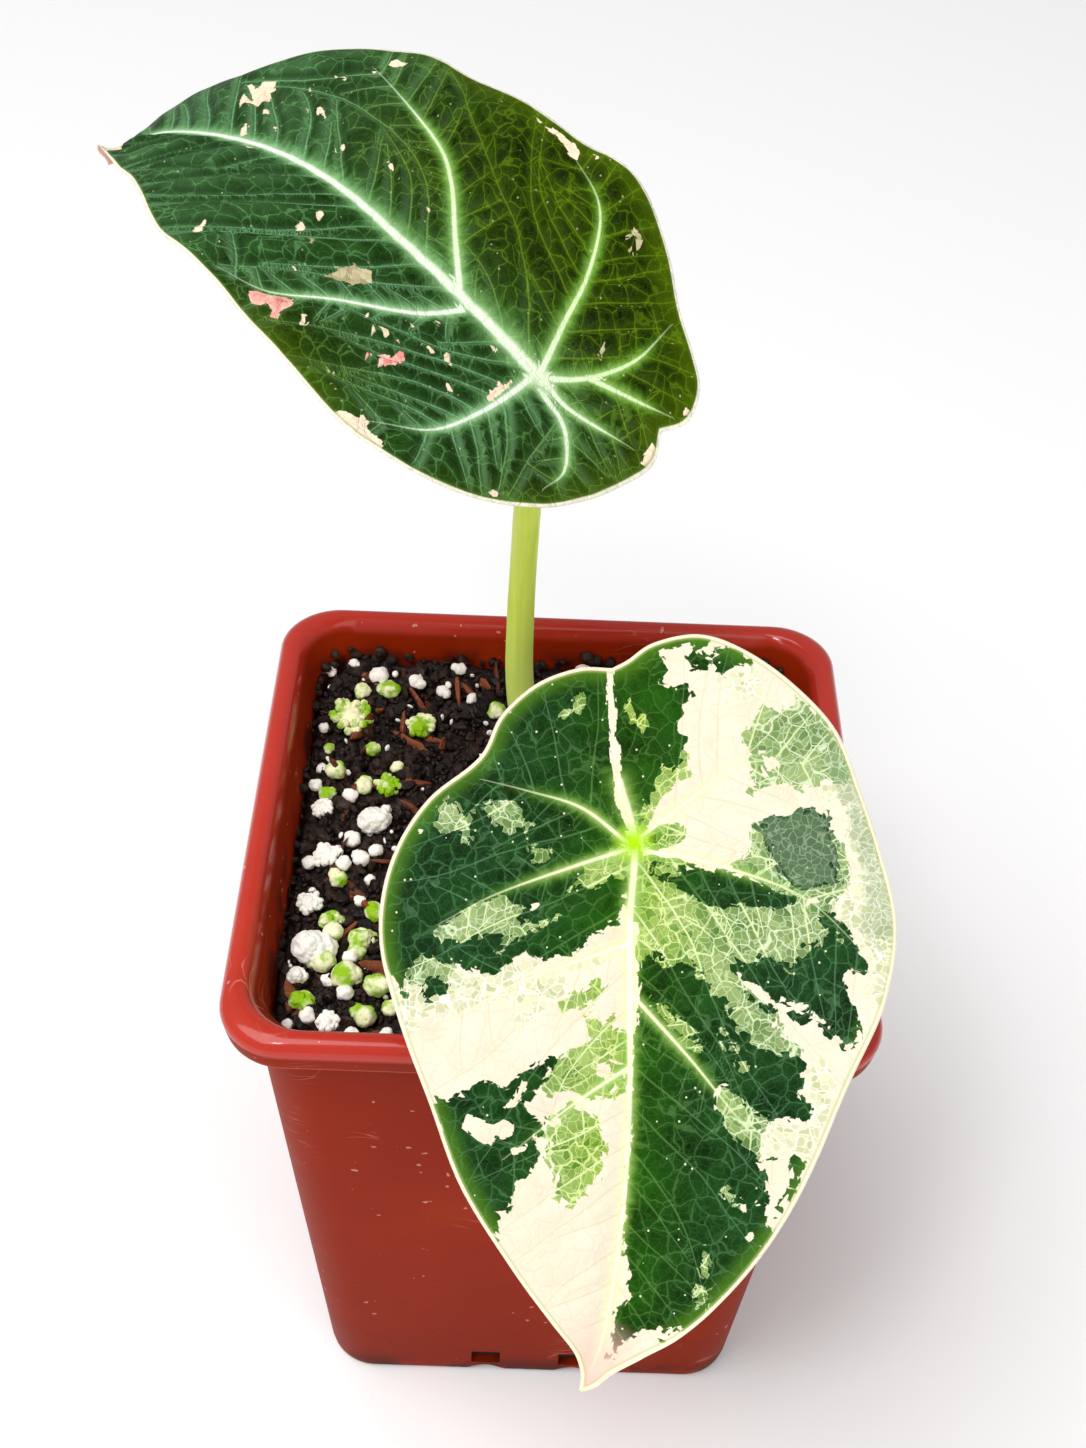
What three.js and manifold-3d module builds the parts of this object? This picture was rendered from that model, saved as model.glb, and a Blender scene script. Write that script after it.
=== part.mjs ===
// A variegated alocasia in a square plastic pot. Millimetres, +Z up.
// The origin is the centre of the pot's flat base, and -Y is the front.
import * as THREE from 'three';
import { mergeVertices } from 'three/addons/utils/BufferGeometryUtils.js';
import Module from 'manifold-3d';

const wasm = await Module();
wasm.setup();

// Pot: half widths are measured from the middle to the flat of a side
const POT_HEIGHT = 82;
const RIM_HALF = 35;
const BODY_TOP_HALF = 32;
const BODY_BASE_HALF = 26.8;
const LIP_HEIGHT = 4.2;
const LIP_THICKNESS = 1.3;
const RIM_ROLL = 1.6;
const WALL = 1.2;
const FLOOR_THICKNESS = 1.6;
const CORNER = 7;
const CORNER_TAPER = 0.12;
const DRAIN_OFFSET = 5.8;
const DRAIN_WIDTH = 3.8;
const DRAIN_BOTTOM = 2.7;
const DRAIN_TOP = 5.9;
const ARCH_HEIGHT = 2;
const ARCH_HALF_SPAN = 4.2;
const ARCH_STEPS = 8;
const CUT_DEPTH = 6;

// Clearance between pieces that rest on or stand in each other
const GAP = 0.3;

// Soil: the height of its surface at the wall, its dome, its rise to the back wall, its clods, and
// its reach from the middle
const SOIL_LEVEL = 73.6;
const SOIL_CROWN = 1.2;
const SOIL_RISE = 2.2;
const SOIL_ROUGHNESS = 0.44;
const SOIL_HALF = 29.8;
const SOIL_RINGS = 10;
const SOIL_CORNER = 5.8;

// Stem: a short rooted base that both leaf stalks grow from
const BASE_X = -0.5;
const BASE_Y = 6;
const BASE_DEPTH = 15;
const BASE_RADIUS = 4.6;
const STALK_FOOT_RADIUS = 2.1;
const STALK_TOP_RADIUS = 1.5;
const STALK_SIDES = 10;
const STALK_STEPS = 22;

// Leaves: valleys run over the veins above and ribs under them, and the blade is quilted between
const BLADE_THICKNESS = 0.8;
const RIB_HEIGHT = 0.55;
const RIB_WIDTH = 1.2;
const VALLEY_DEPTH = 0.6;
const VALLEY_WIDTH = 1.7;
const QUILT_DEPTH = 0.22;
const QUILT_COUNT = 9;
const FOLD_ROUND = 3;
const DROOP_POWER = 12;
const RIPPLE_PITCH = 0.42;
const RIPPLE_REACH = 25;
const BLADE_ROWS = 36;
const BLADE_COLUMNS = 10;
const VEIN_STEPS = 14;

// The part of the left margin that curls up near a tip, as shares of the length and the width
const CURL_CENTRE = 0.93;
const CURL_SPAN = 0.09;
const CURL_START = 0.55;

// Each leaf lies on a frame of its own at the point where the stalk meets the blade: u runs to
// the tip, v runs across, and the blade's height over that plane is a formula. The stalk's
// points are in the pot's frame, between the stem's base and the blade.
const UPPER_LEAF = {
  stalk: [[-2.6, 8.4, 80], [-4.6, 11.6, 90], [-4.9, 12, 101], [-4.7, 10.8, 114], [-4.4, 10.4, 124]],
  at: [-4, 10.8, 133],
  heading: 145,
  slope: 5,
  roll: 8,
  reach: 60,
  arch: 7,
  fold: 0.2,
  droop: 1,
  bow: -6,
  bowReach: 38,
  ripple: 0.7,
  curl: 2,
  spine: [[-11, -6.7], [-5, -3], [0, -0.6], [10, -1.6], [20, -3], [30, -5], [40, -6.1], [52, -6.2],
    [60, -6.2], [66.4, -4.9]],
  left: [[-11, -6.7], [-12.3, -3.5], [-11.6, 1], [-10.6, 6], [-8.6, 11.4], [-5, 16.3], [0, 20.1],
    [5, 21.4], [11, 21], [18, 19.9], [26, 17.2], [31, 16.2], [36, 14.7], [40, 12.6], [44.5, 9.6],
    [49, 6.8], [54, 4.3], [60, 1], [64, -1.9], [66.4, -4.9]],
  right: [[-11, -6.7], [-12.2, -10], [-11.2, -13.4], [-8.6, -15.5], [-5, -18], [-1, -21.7], [3.6, -24.4],
    [8.4, -25.5], [14.5, -25.4], [21, -24.9], [27, -25.1], [32.5, -25.4], [37.5, -24.3], [42.5, -23.5],
    [47, -21.7], [51, -19], [55, -16.5], [59.3, -14.5], [62.6, -11.9], [65, -8.5], [66.4, -4.9]],
  veins: [
    [[12.1, -2.6], [16.2, -7.1], [20.9, -12.4], [26, -16], [38.6, -21.2]],
    [[0.6, -1], [2.1, -7], [3.6, -13.5], [6.8, -19.7], [13, -23.4]],
    [[0, -1], [-2.9, -4.7], [-5.1, -10], [-5.5, -15.9]],
    [[-2.9, -4.7], [-7.9, -7.1], [-11, -8.8]],
    [[-0.5, -0.6], [-3.8, -0.6], [-10, -2.9]],
    [[-1, 0.5], [-4.5, 1.6], [-7.4, 5.4], [-7.6, 9.4]],
    [[0.9, 0], [1.1, 8], [2.3, 14.6], [6.2, 19]],
    [[10.1, -0.6], [12.8, 4.2], [18, 9.4], [22.5, 13.8], [28, 15.2]],
  ],
};
const LOWER_LEAF = {
  stalk: [[0.9, 3.4, 80], [2.8, -3, 88], [5.2, -11, 94], [7, -18.5, 98.4]],
  at: [7.3, -22.8, 101.6],
  heading: -94,
  slope: -43,
  roll: -3,
  reach: 54,
  arch: 3,
  fold: 0.06,
  droop: 1.5,
  bow: 2,
  bowReach: 30,
  ripple: 0.5,
  curl: 1.2,
  spine: [[-17.7, -4], [-12, -3.4], [-6, -2.1], [0, 0], [8, 0.3], [16, 1], [25, 1.8], [34, 2.1],
    [42, 1.8], [48, 1.2], [52, 0.3], [55, -0.9]],
  left: [[-17.7, -4], [-18.7, -2.5], [-20.8, 0], [-22.1, 4.5], [-21, 9], [-17.9, 14.2], [-13.2, 19.1],
    [-7.2, 22], [-1.2, 24.3], [6, 26.3], [13, 25.7], [21, 22.9], [31, 19.5], [38, 16.2], [43.8, 12.2],
    [47.6, 8.6], [50, 5.2], [52.2, 2.4], [54, 0.8], [55, -0.9]],
  right: [[-17.7, -4], [-17.4, -7.4], [-15.4, -11.5], [-11.8, -14.7], [-8.2, -15.9], [-6.2, -17.3],
    [-2.6, -21], [2, -23.4], [7.5, -24.4], [13, -24], [19.4, -21.4], [27, -17.8], [35, -13.9],
    [42.5, -8.4], [47.5, -4.2], [50.4, -1.7], [52.4, -0.9], [53.6, -0.8], [55, -0.9]],
  veins: [
    [[0, -0.8], [-3, -5.6], [-4.2, -11], [-5, -16]],
    [[0.8, -0.8], [3.1, -6.2], [6.4, -13.3], [9.8, -18.6]],
    [[10, 0.3], [12.4, -5], [15, -10.5], [19.5, -17]],
    [[22, 1.4], [26, -3.6], [32, -10]],
    [[-0.6, 0.6], [-4.5, 4.9], [-8.9, 10.2], [-9.4, 18.5]],
    [[0.8, 1.4], [1.2, 6.7], [3.7, 16.7], [8.7, 23.4]],
    [[14.6, 0.8], [20.5, 7.3], [26.4, 13.2], [29.5, 17.8]],
  ],
};

// Loose grains that lie on the soil: x, y, radius, height share, and whether it is green
const GRAIN_REACH = 1.16;
const GRAIN_RISE = 0.3;
const GRAINS = [
  { name: 'perlite_1', x: -28.2, y: -16.4, size: 2.9, flat: 0.8, green: false },
  { name: 'perlite_2', x: -26.6, y: -1.6, size: 2.1, flat: 0.75, green: false },
  { name: 'perlite_3', x: -21.3, y: 3.7, size: 2.2, flat: 0.85, green: false },
  { name: 'perlite_4', x: -28, y: -8.8, size: 1.7, flat: 0.8, green: false },
  { name: 'perlite_5', x: -28.4, y: 5.8, size: 1.7, flat: 0.8, green: false },
  { name: 'perlite_6', x: -29, y: -19.9, size: 1.4, flat: 0.85, green: false },
  { name: 'perlite_7', x: -24.2, y: -26.2, size: 1.5, flat: 0.8, green: false },
  { name: 'algae_grain_1', x: -26.6, y: 20.4, size: 3.6, flat: 0.6, green: true },
  { name: 'algae_grain_2', x: -17, y: 19.2, size: 2.4, flat: 0.8, green: true },
  { name: 'algae_grain_3', x: -21.4, y: -14.2, size: 1.9, flat: 0.8, green: true },
  { name: 'algae_grain_4', x: -24.9, y: -11.2, size: 1.8, flat: 0.8, green: true },
  { name: 'algae_grain_5', x: -20.3, y: 9.6, size: 1.9, flat: 0.8, green: true },
  { name: 'algae_grain_6', x: -27, y: -22.8, size: 1.5, flat: 0.9, green: true },
];

// Small crumbs grown into the soil
const LUMP_COUNT = 34;
const LUMP_LIMIT = 27;
const LUMP_SIZE = 0.9;
const LUMP_SPREAD = 1.1;

const MATERIALS = {
  pot: new THREE.MeshStandardMaterial({ color: 0x9c3320, roughness: 0.38, metalness: 0 }),
  soil: new THREE.MeshStandardMaterial({ color: 0x1d120c, roughness: 0.95, metalness: 0 }),
  stalk: new THREE.MeshStandardMaterial({ color: 0xa5c24a, roughness: 0.45, metalness: 0 }),
  upperLeaf: new THREE.MeshStandardMaterial({ color: 0x1f4a1c, roughness: 0.5, metalness: 0 }),
  lowerLeaf: new THREE.MeshStandardMaterial({ color: 0xd9dcb2, roughness: 0.5, metalness: 0 }),
  perlite: new THREE.MeshStandardMaterial({ color: 0xf2eee4, roughness: 0.85, metalness: 0 }),
  algae: new THREE.MeshStandardMaterial({ color: 0x9dbf3a, roughness: 0.8, metalness: 0 }),
};

// A repeatable stream of numbers between 0 and 1
function seeded(seed) {
  let state = seed;
  return () => {
    state = (state + 0x6d2b79f5) | 0;
    let mixed = Math.imul(state ^ (state >>> 15), 1 | state);
    mixed = (mixed + Math.imul(mixed ^ (mixed >>> 7), 61 | mixed)) ^ mixed;
    return ((mixed ^ (mixed >>> 14)) >>> 0) / 4294967296;
  };
}

function positionsOnly(geometry) {
  const bare = geometry.clone();
  for (const name of Object.keys(bare.attributes)) {
    if (name !== 'position') bare.deleteAttribute(name);
  }
  return mergeVertices(bare, 1e-4);
}

function toSolid(geometry) {
  const bare = positionsOnly(geometry);
  return new wasm.Manifold(new wasm.Mesh({
    numProp: 3,
    vertProperties: new Float32Array(bare.attributes.position.array),
    triVerts: new Uint32Array(bare.index.array),
  }));
}

function toGeometry(solid) {
  const mesh = solid.getMesh();
  const geometry = new THREE.BufferGeometry();
  geometry.setAttribute('position', new THREE.BufferAttribute(new Float32Array(mesh.vertProperties), 3));
  geometry.setIndex(new THREE.BufferAttribute(new Uint32Array(mesh.triVerts), 1));
  return geometry;
}

// A closed skin through rings of equal length, with a fan to a point at each end
function loft(rings, startPoint, endPoint) {
  const count = rings[0].length;
  const points = rings.flat();
  const faces = [];
  const start = points.push(startPoint) - 1;
  const end = points.push(endPoint) - 1;
  const last = (rings.length - 1) * count;
  for (let j = 0; j < count; j += 1) {
    const k = (j + 1) % count;
    faces.push(start, k, j);
    faces.push(end, last + j, last + k);
    for (let i = 0; i < rings.length - 1; i += 1) {
      const low = i * count;
      const high = low + count;
      faces.push(low + j, low + k, high + k);
      faces.push(low + j, high + k, high + j);
    }
  }
  const geometry = new THREE.BufferGeometry().setFromPoints(points);
  geometry.setIndex(faces);
  return geometry;
}

// A square ring with round corners, counterclockwise from above
function squareRing(half, corner, z, arcSteps, sideSteps) {
  const ring = [];
  const flat = half - corner;
  const upAxis = new THREE.Vector3(0, 0, 1);
  for (let quarter = 0; quarter < 4; quarter += 1) {
    const turn = (quarter * Math.PI) / 2;
    const add = (x, y) => {
      ring.push(new THREE.Vector3(x, y, z).applyAxisAngle(upAxis, turn));
    };
    for (let i = 1; i < sideSteps; i += 1) add(half, -flat + (2 * flat * i) / sideSteps);
    for (let i = 0; i <= arcSteps; i += 1) {
      const angle = (i / arcSteps) * (Math.PI / 2);
      add(flat + corner * Math.cos(angle), flat + corner * Math.sin(angle));
    }
  }
  return ring;
}

// Half width of the pot's outer wall at a height
function wallHalf(z) {
  return BODY_BASE_HALF + ((BODY_TOP_HALF - BODY_BASE_HALF) * z) / (POT_HEIGHT - LIP_HEIGHT);
}

// The pot's section as half widths and heights: foot, outer wall, hanging lip, rolled rim, inside
function potProfile() {
  const lipBottom = POT_HEIGHT - LIP_HEIGHT;
  const lipRoof = POT_HEIGHT - RIM_ROLL - 0.5;
  const lipInner = RIM_HALF - LIP_THICKNESS;
  const rollTop = RIM_HALF - RIM_ROLL;
  const rollChamfer = RIM_ROLL * 0.29;
  return [
    [BODY_BASE_HALF - 1.1, 0],
    [BODY_BASE_HALF - 0.3, 0.35],
    [wallHalf(1.3), 1.3],
    [wallHalf(lipRoof), lipRoof],
    [lipInner - 0.1, lipRoof],
    [lipInner - 0.3, lipBottom],
    [RIM_HALF - 0.3, lipBottom],
    [RIM_HALF, POT_HEIGHT - RIM_ROLL],
    [RIM_HALF - rollChamfer, POT_HEIGHT - rollChamfer],
    [rollTop, POT_HEIGHT],
    [rollTop - 0.6, POT_HEIGHT - 0.1],
    [rollTop - 1.2, POT_HEIGHT - 0.9],
    [wallHalf(lipBottom) - WALL + 0.2, lipBottom + 1],
    [wallHalf(lipBottom - 3) - WALL, lipBottom - 3],
    [wallHalf(FLOOR_THICKNESS + 1) - WALL, FLOOR_THICKNESS + 1],
    [wallHalf(FLOOR_THICKNESS) - WALL - 1, FLOOR_THICKNESS],
  ];
}

function makePot() {
  const arcSteps = 5;
  const rings = potProfile().map(([half, z]) => {
    const corner = CORNER - (RIM_HALF - half) * CORNER_TAPER;
    return squareRing(half, corner, z, arcSteps, 1);
  });
  const under = new THREE.Vector3(0, 0, 0);
  const inside = new THREE.Vector3(0, 0, FLOOR_THICKNESS);
  return toGeometry(cutDrains(toSolid(loft(rings, under, inside))));
}

// Two drain slots low in each side, each over a smooth arch in the bottom edge
function cutDrains(shell) {
  const slot = new THREE.BoxGeometry(DRAIN_WIDTH, CUT_DEPTH, DRAIN_TOP - DRAIN_BOTTOM);
  slot.translate(0, 0, (DRAIN_TOP + DRAIN_BOTTOM) / 2);
  const bell = new THREE.Shape();
  bell.moveTo(-ARCH_HALF_SPAN, -1);
  for (let i = 0; i <= ARCH_STEPS; i += 1) {
    const across = -ARCH_HALF_SPAN + (2 * ARCH_HALF_SPAN * i) / ARCH_STEPS;
    bell.lineTo(across, (ARCH_HEIGHT * (1 + Math.cos((Math.PI * across) / ARCH_HALF_SPAN))) / 2);
  }
  bell.lineTo(ARCH_HALF_SPAN, -1);
  const arch = new THREE.ExtrudeGeometry(bell, { depth: CUT_DEPTH, bevelEnabled: false, steps: 1 });
  arch.rotateX(Math.PI / 2);
  arch.translate(0, CUT_DEPTH / 2, 0);
  let pot = shell;
  for (let side = 0; side < 4; side += 1) {
    for (const offset of [-DRAIN_OFFSET, DRAIN_OFFSET]) {
      for (const cutter of [slot, arch]) {
        const placed = cutter.clone();
        placed.translate(offset, -BODY_BASE_HALF, 0);
        placed.rotateZ((side * Math.PI) / 2);
        pot = pot.subtract(toSolid(placed));
      }
    }
  }
  return pot;
}

// Height of the soil: slightly domed and heaped up at the back, with clods
function soilHeight(x, y) {
  const reach = Math.max(Math.abs(x), Math.abs(y)) / BODY_TOP_HALF;
  const clods = Math.sin(x * 0.62 + 1.3) * Math.sin(y * 0.57 + 0.4)
    + 0.6 * Math.sin(x * 1.27 - y * 0.83 + 2.1) + 0.5 * Math.sin(x * 0.71 + y * 1.49);
  const back = Math.max(0, y / BODY_TOP_HALF);
  return SOIL_LEVEL + SOIL_CROWN * (1 - reach * reach) + SOIL_RISE * back * back + SOIL_ROUGHNESS * clods;
}

function makeSoilBody() {
  const inner = (z) => wallHalf(z) - WALL - GAP;
  const soilRing = (half, corner, z) => squareRing(half, corner, z, 3, 6);
  const bottom = FLOOR_THICKNESS + GAP;
  const bevelTop = bottom + 1.2;
  const edge = inner(SOIL_LEVEL - 2);
  const rings = [
    soilRing(inner(bottom) - 1.3, SOIL_CORNER, bottom),
    soilRing(inner(bevelTop), SOIL_CORNER, bevelTop),
  ];
  for (let i = 0; i < SOIL_RINGS; i += 1) {
    const half = edge * (1 - i / SOIL_RINGS);
    const ring = soilRing(half, Math.min(SOIL_CORNER, half * 0.45), 0);
    ring.forEach((point) => {
      point.z = soilHeight(point.x, point.y);
    });
    rings.push(ring);
  }
  const under = new THREE.Vector3(0, 0, bottom);
  const crown = new THREE.Vector3(0, 0, soilHeight(0, 0));
  return toSolid(loft(rings, under, crown));
}

// A lumpy stone, wider than it is high
function makeGrain(size, flat, detail, random) {
  const ball = positionsOnly(new THREE.IcosahedronGeometry(size, detail));
  const place = ball.attributes.position;
  for (let i = 0; i < place.count; i += 1) {
    const swell = 0.84 + 0.3 * random();
    place.setXYZ(i, place.getX(i) * swell, place.getY(i) * swell, place.getZ(i) * swell * flat);
  }
  ball.rotateZ(random() * Math.PI);
  return ball;
}

// The loose grains, each with the socket in the soil that it lies in
function makeGrains() {
  const random = seeded(11);
  return GRAINS.map((grain) => {
    const shape = makeGrain(grain.size, grain.flat, 1, random);
    const socket = shape.clone();
    const grow = 1 + (GAP * 1.4) / grain.size;
    socket.scale(grow, grow, grow + 0.04);
    const limit = SOIL_HALF - grain.size * GRAIN_REACH;
    const x = THREE.MathUtils.clamp(grain.x, -limit, limit);
    const y = THREE.MathUtils.clamp(grain.y, -limit, limit);
    const z = soilHeight(x, y) + grain.size * grain.flat * GRAIN_RISE;
    shape.translate(x, y, z);
    socket.translate(x, y, z);
    return { ...grain, x, y, shape, socket: toSolid(socket) };
  });
}

function addLumps(soil, grains) {
  const random = seeded(29);
  let result = soil;
  let placed = 0;
  while (placed < LUMP_COUNT) {
    const x = (random() * 2 - 1) * LUMP_LIMIT;
    const y = (random() * 2 - 1) * LUMP_LIMIT;
    const size = LUMP_SIZE + random() * LUMP_SPREAD;
    const isClearOf = (atX, atY, radius) => Math.hypot(atX - x, atY - y) > radius + size;
    const clearOfGrains = grains.every((grain) => isClearOf(grain.x, grain.y, grain.size * 1.3 + 0.8));
    if (clearOfGrains && isClearOf(BASE_X, BASE_Y, BASE_RADIUS + 1.4)) {
      const lump = makeGrain(size, 0.85, 0, random);
      lump.translate(x, y, soilHeight(x, y) + 0.1);
      result = result.add(toSolid(lump));
      placed += 1;
    }
  }
  return result;
}

function makeSoil(grains) {
  const holeRadius = BASE_RADIUS + 0.5;
  const holeLength = 40;
  const hole = new THREE.CylinderGeometry(holeRadius, holeRadius, holeLength, 16);
  hole.rotateX(Math.PI / 2);
  hole.translate(BASE_X, BASE_Y, SOIL_LEVEL - BASE_DEPTH - GAP + holeLength / 2);
  let soil = addLumps(makeSoilBody(), grains).subtract(toSolid(hole));
  for (const grain of grains) soil = soil.subtract(grain.socket);
  const pieces = soil.decompose();
  pieces.sort((a, b) => b.volume() - a.volume());
  return toGeometry(pieces[0]);
}

// The three directions of a leaf's own frame
function leafAxes(leaf) {
  const heading = THREE.MathUtils.degToRad(leaf.heading);
  const slope = THREE.MathUtils.degToRad(leaf.slope);
  const roll = THREE.MathUtils.degToRad(leaf.roll);
  const along = new THREE.Vector3(
    Math.cos(slope) * Math.cos(heading),
    Math.cos(slope) * Math.sin(heading),
    Math.sin(slope),
  );
  const level = new THREE.Vector3(-Math.sin(heading), Math.cos(heading), 0);
  const normal = new THREE.Vector3().crossVectors(along, level).multiplyScalar(Math.cos(roll));
  normal.addScaledVector(level, Math.sin(roll));
  const across = new THREE.Vector3().crossVectors(normal, along);
  return { along, across, normal };
}

// Height of the bare blade over the leaf's plane: arched to the tip, folded along the midrib and
// rippled at the margin
function bladeHeight(leaf, u, v) {
  const q = u / leaf.reach;
  const bowed = THREE.MathUtils.clamp(u / leaf.bowReach, 0, 1);
  const offset = v - (leaf.bow * (1 - Math.cos(Math.PI * bowed))) / 2;
  const arched = leaf.arch * 4 * q * (1 - q) - leaf.droop * Math.max(q, 0) ** DROOP_POWER;
  const folded = leaf.fold * (Math.hypot(offset, FOLD_ROUND) - FOLD_ROUND);
  const side = Math.abs(offset) / RIPPLE_REACH;
  const rippled = leaf.ripple * Math.sin(u * RIPPLE_PITCH + Math.sign(offset)) * side ** 3;
  return arched + folded + rippled;
}

function smoothLine(points) {
  const line = points.map(([u, v]) => new THREE.Vector3(u, v, 0));
  return new THREE.CatmullRomCurve3(line, false, 'catmullrom', 0.5);
}

function distanceToLines(u, v, lines) {
  const point = new THREE.Vector3(u, v, 0);
  const nearest = new THREE.Vector3();
  const piece = new THREE.Line3();
  let best = Infinity;
  for (const line of lines) {
    for (let i = 0; i < line.length - 1; i += 1) {
      piece.set(line[i], line[i + 1]);
      piece.closestPointToPoint(point, true, nearest);
      best = Math.min(best, nearest.distanceTo(point));
    }
  }
  return best;
}

// How far the left margin curls up at shares s of the length and t of the width
function curlHeight(leaf, s, t) {
  const nearTip = Math.max(0, 1 - Math.abs(s - CURL_CENTRE) / CURL_SPAN);
  const nearMargin = Math.max(0, (t - CURL_START) / (1 - CURL_START));
  return leaf.curl * nearTip * nearMargin ** 2;
}

// A blade as two alike skins: rows run from the back notch to the tip, columns from the left
// margin over the midrib to the right margin. Valleys mark the veins above, ribs below.
function makeBlade(leaf) {
  const spine = smoothLine(leaf.spine);
  const margins = [smoothLine(leaf.left), smoothLine(leaf.right)];
  const midrib = leaf.spine.slice(2);
  const veinLines = [midrib, ...leaf.veins].map((vein) => smoothLine(vein).getPoints(VEIN_STEPS));
  const top = [];
  const under = [];
  for (let i = 0; i <= BLADE_ROWS; i += 1) {
    const s = i / BLADE_ROWS;
    const isEnd = i === 0 || i === BLADE_ROWS;
    const middle = spine.getPointAt(s);
    for (let j = -BLADE_COLUMNS; j <= BLADE_COLUMNS; j += 1) {
      const t = isEnd ? 0 : Math.abs(j) / BLADE_COLUMNS;
      const edge = margins[j < 0 ? 0 : 1].getPointAt(s);
      const place = middle.clone().lerp(edge, t);
      const away = distanceToLines(place.x, place.y, veinLines);
      const curled = j < 0 ? curlHeight(leaf, s, t) : 0;
      const quilted = QUILT_DEPTH * Math.cos(2 * Math.PI * QUILT_COUNT * s) * 4 * t * (1 - t);
      const height = bladeHeight(leaf, place.x, place.y) + curled - quilted
        - VALLEY_DEPTH * Math.exp(-((away / VALLEY_WIDTH) ** 2));
      const rib = RIB_HEIGHT * Math.exp(-((away / RIB_WIDTH) ** 2)) * (1 - t ** 6);
      top.push(new THREE.Vector3(place.x, place.y, height));
      under.push(new THREE.Vector3(place.x, place.y, height - BLADE_THICKNESS - rib));
    }
  }
  return joinSkins(top, under, BLADE_ROWS, BLADE_COLUMNS * 2);
}

// Two skins with the same grid, closed along their shared border
function joinSkins(top, under, rows, columns) {
  const width = columns + 1;
  const shift = top.length;
  const faces = [];
  const add = (a, b, c) => {
    faces.push(a, b, c);
    faces.push(a + shift, c + shift, b + shift);
  };
  for (let i = 0; i < rows; i += 1) {
    for (let j = 0; j < columns; j += 1) {
      const a = i * width + j;
      const b = a + 1;
      const c = a + width;
      const d = c + 1;
      if (j < columns / 2) {
        add(a, b, d);
        add(a, d, c);
      } else {
        add(a, b, c);
        add(b, d, c);
      }
    }
    const leftSide = [i * width, (i + 1) * width];
    const rightSide = [(i + 2) * width - 1, (i + 1) * width - 1];
    for (const [from, to] of [leftSide, rightSide]) {
      faces.push(from, to, to + shift);
      faces.push(from, to + shift, from + shift);
    }
  }
  const geometry = new THREE.BufferGeometry().setFromPoints([...top, ...under]);
  geometry.setIndex(faces);
  return dropFlatFaces(positionsOnly(geometry));
}

// Rows shrink to a point at the notch and the tip, which leaves faces with two equal corners
function dropFlatFaces(geometry) {
  const kept = [];
  const index = geometry.index.array;
  for (let i = 0; i < index.length; i += 3) {
    const [a, b, c] = [index[i], index[i + 1], index[i + 2]];
    if (a !== b && b !== c && c !== a) kept.push(a, b, c);
  }
  geometry.setIndex(kept);
  return geometry;
}

// A round stalk from a point in the stem's base to a leaf, thinner towards its top
function makeStalk(foot, leaf) {
  const points = [foot, ...leaf.stalk, leaf.at].map((place) => new THREE.Vector3(...place));
  const curve = new THREE.CatmullRomCurve3(points, false, 'catmullrom', 0.5);
  const frames = curve.computeFrenetFrames(STALK_STEPS, false);
  const rings = [];
  for (let i = 0; i <= STALK_STEPS; i += 1) {
    const share = i / STALK_STEPS;
    const centre = curve.getPointAt(share);
    const radius = STALK_TOP_RADIUS + (STALK_FOOT_RADIUS - STALK_TOP_RADIUS) * (1 - share) ** 3;
    const ring = [];
    for (let j = 0; j < STALK_SIDES; j += 1) {
      const angle = (j / STALK_SIDES) * Math.PI * 2;
      const point = centre.clone();
      point.addScaledVector(frames.normals[i], radius * Math.cos(angle));
      point.addScaledVector(frames.binormals[i], radius * Math.sin(angle));
      ring.push(point);
    }
    rings.push(ring);
  }
  return toSolid(loft(rings, curve.getPointAt(0), curve.getPointAt(1)));
}

// Everything on the blade's side of the plane where a stalk ends, to trim the stalk with
function bladeSide(leaf) {
  const { along, across, normal } = leafAxes(leaf);
  const rise = (leaf.arch * 4) / leaf.reach;
  const forward = along.clone().addScaledVector(normal, rise).normalize();
  const upward = new THREE.Vector3().crossVectors(forward, across);
  const depth = 8;
  const box = new THREE.BoxGeometry(14, 14, depth);
  box.translate(0, 0, depth / 2 - BLADE_THICKNESS - RIB_HEIGHT - VALLEY_DEPTH - GAP);
  const place = new THREE.Matrix4().makeBasis(forward, across, upward).setPosition(...leaf.at);
  return toSolid(box.applyMatrix4(place));
}

// The stem's base as radii and heights over the soil, which both stalks start in
function makeStem() {
  const level = soilHeight(BASE_X, BASE_Y);
  const profile = [
    [0, -BASE_DEPTH],
    [2.8, -BASE_DEPTH + 0.4],
    [BASE_RADIUS, -BASE_DEPTH + 4],
    [BASE_RADIUS, -7],
    [4, -3.5],
    [3.7, 0],
    [3.2, 2.5],
    [1.8, 4.3],
    [0, 4.8],
  ];
  const base = new THREE.LatheGeometry(profile.map(([r, z]) => new THREE.Vector2(r, z)), 14);
  base.rotateX(Math.PI / 2);
  base.translate(BASE_X, BASE_Y, level);
  const upper = makeStalk([BASE_X - 0.3, BASE_Y + 0.4, level - 3], UPPER_LEAF);
  const lower = makeStalk([BASE_X + 0.5, BASE_Y - 0.6, level - 3], LOWER_LEAF);
  const stem = toSolid(base).add(upper).add(lower);
  return toGeometry(stem.subtract(bladeSide(UPPER_LEAF)).subtract(bladeSide(LOWER_LEAF)));
}

function placedLeaf(leaf, name, material) {
  const { along, across, normal } = leafAxes(leaf);
  const mesh = new THREE.Mesh(makeBlade(leaf), material);
  mesh.name = name;
  mesh.position.set(...leaf.at);
  mesh.quaternion.setFromRotationMatrix(new THREE.Matrix4().makeBasis(along, across, normal));
  return mesh;
}

function named(geometry, name, material) {
  const mesh = new THREE.Mesh(geometry, material);
  mesh.name = name;
  return mesh;
}

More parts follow.
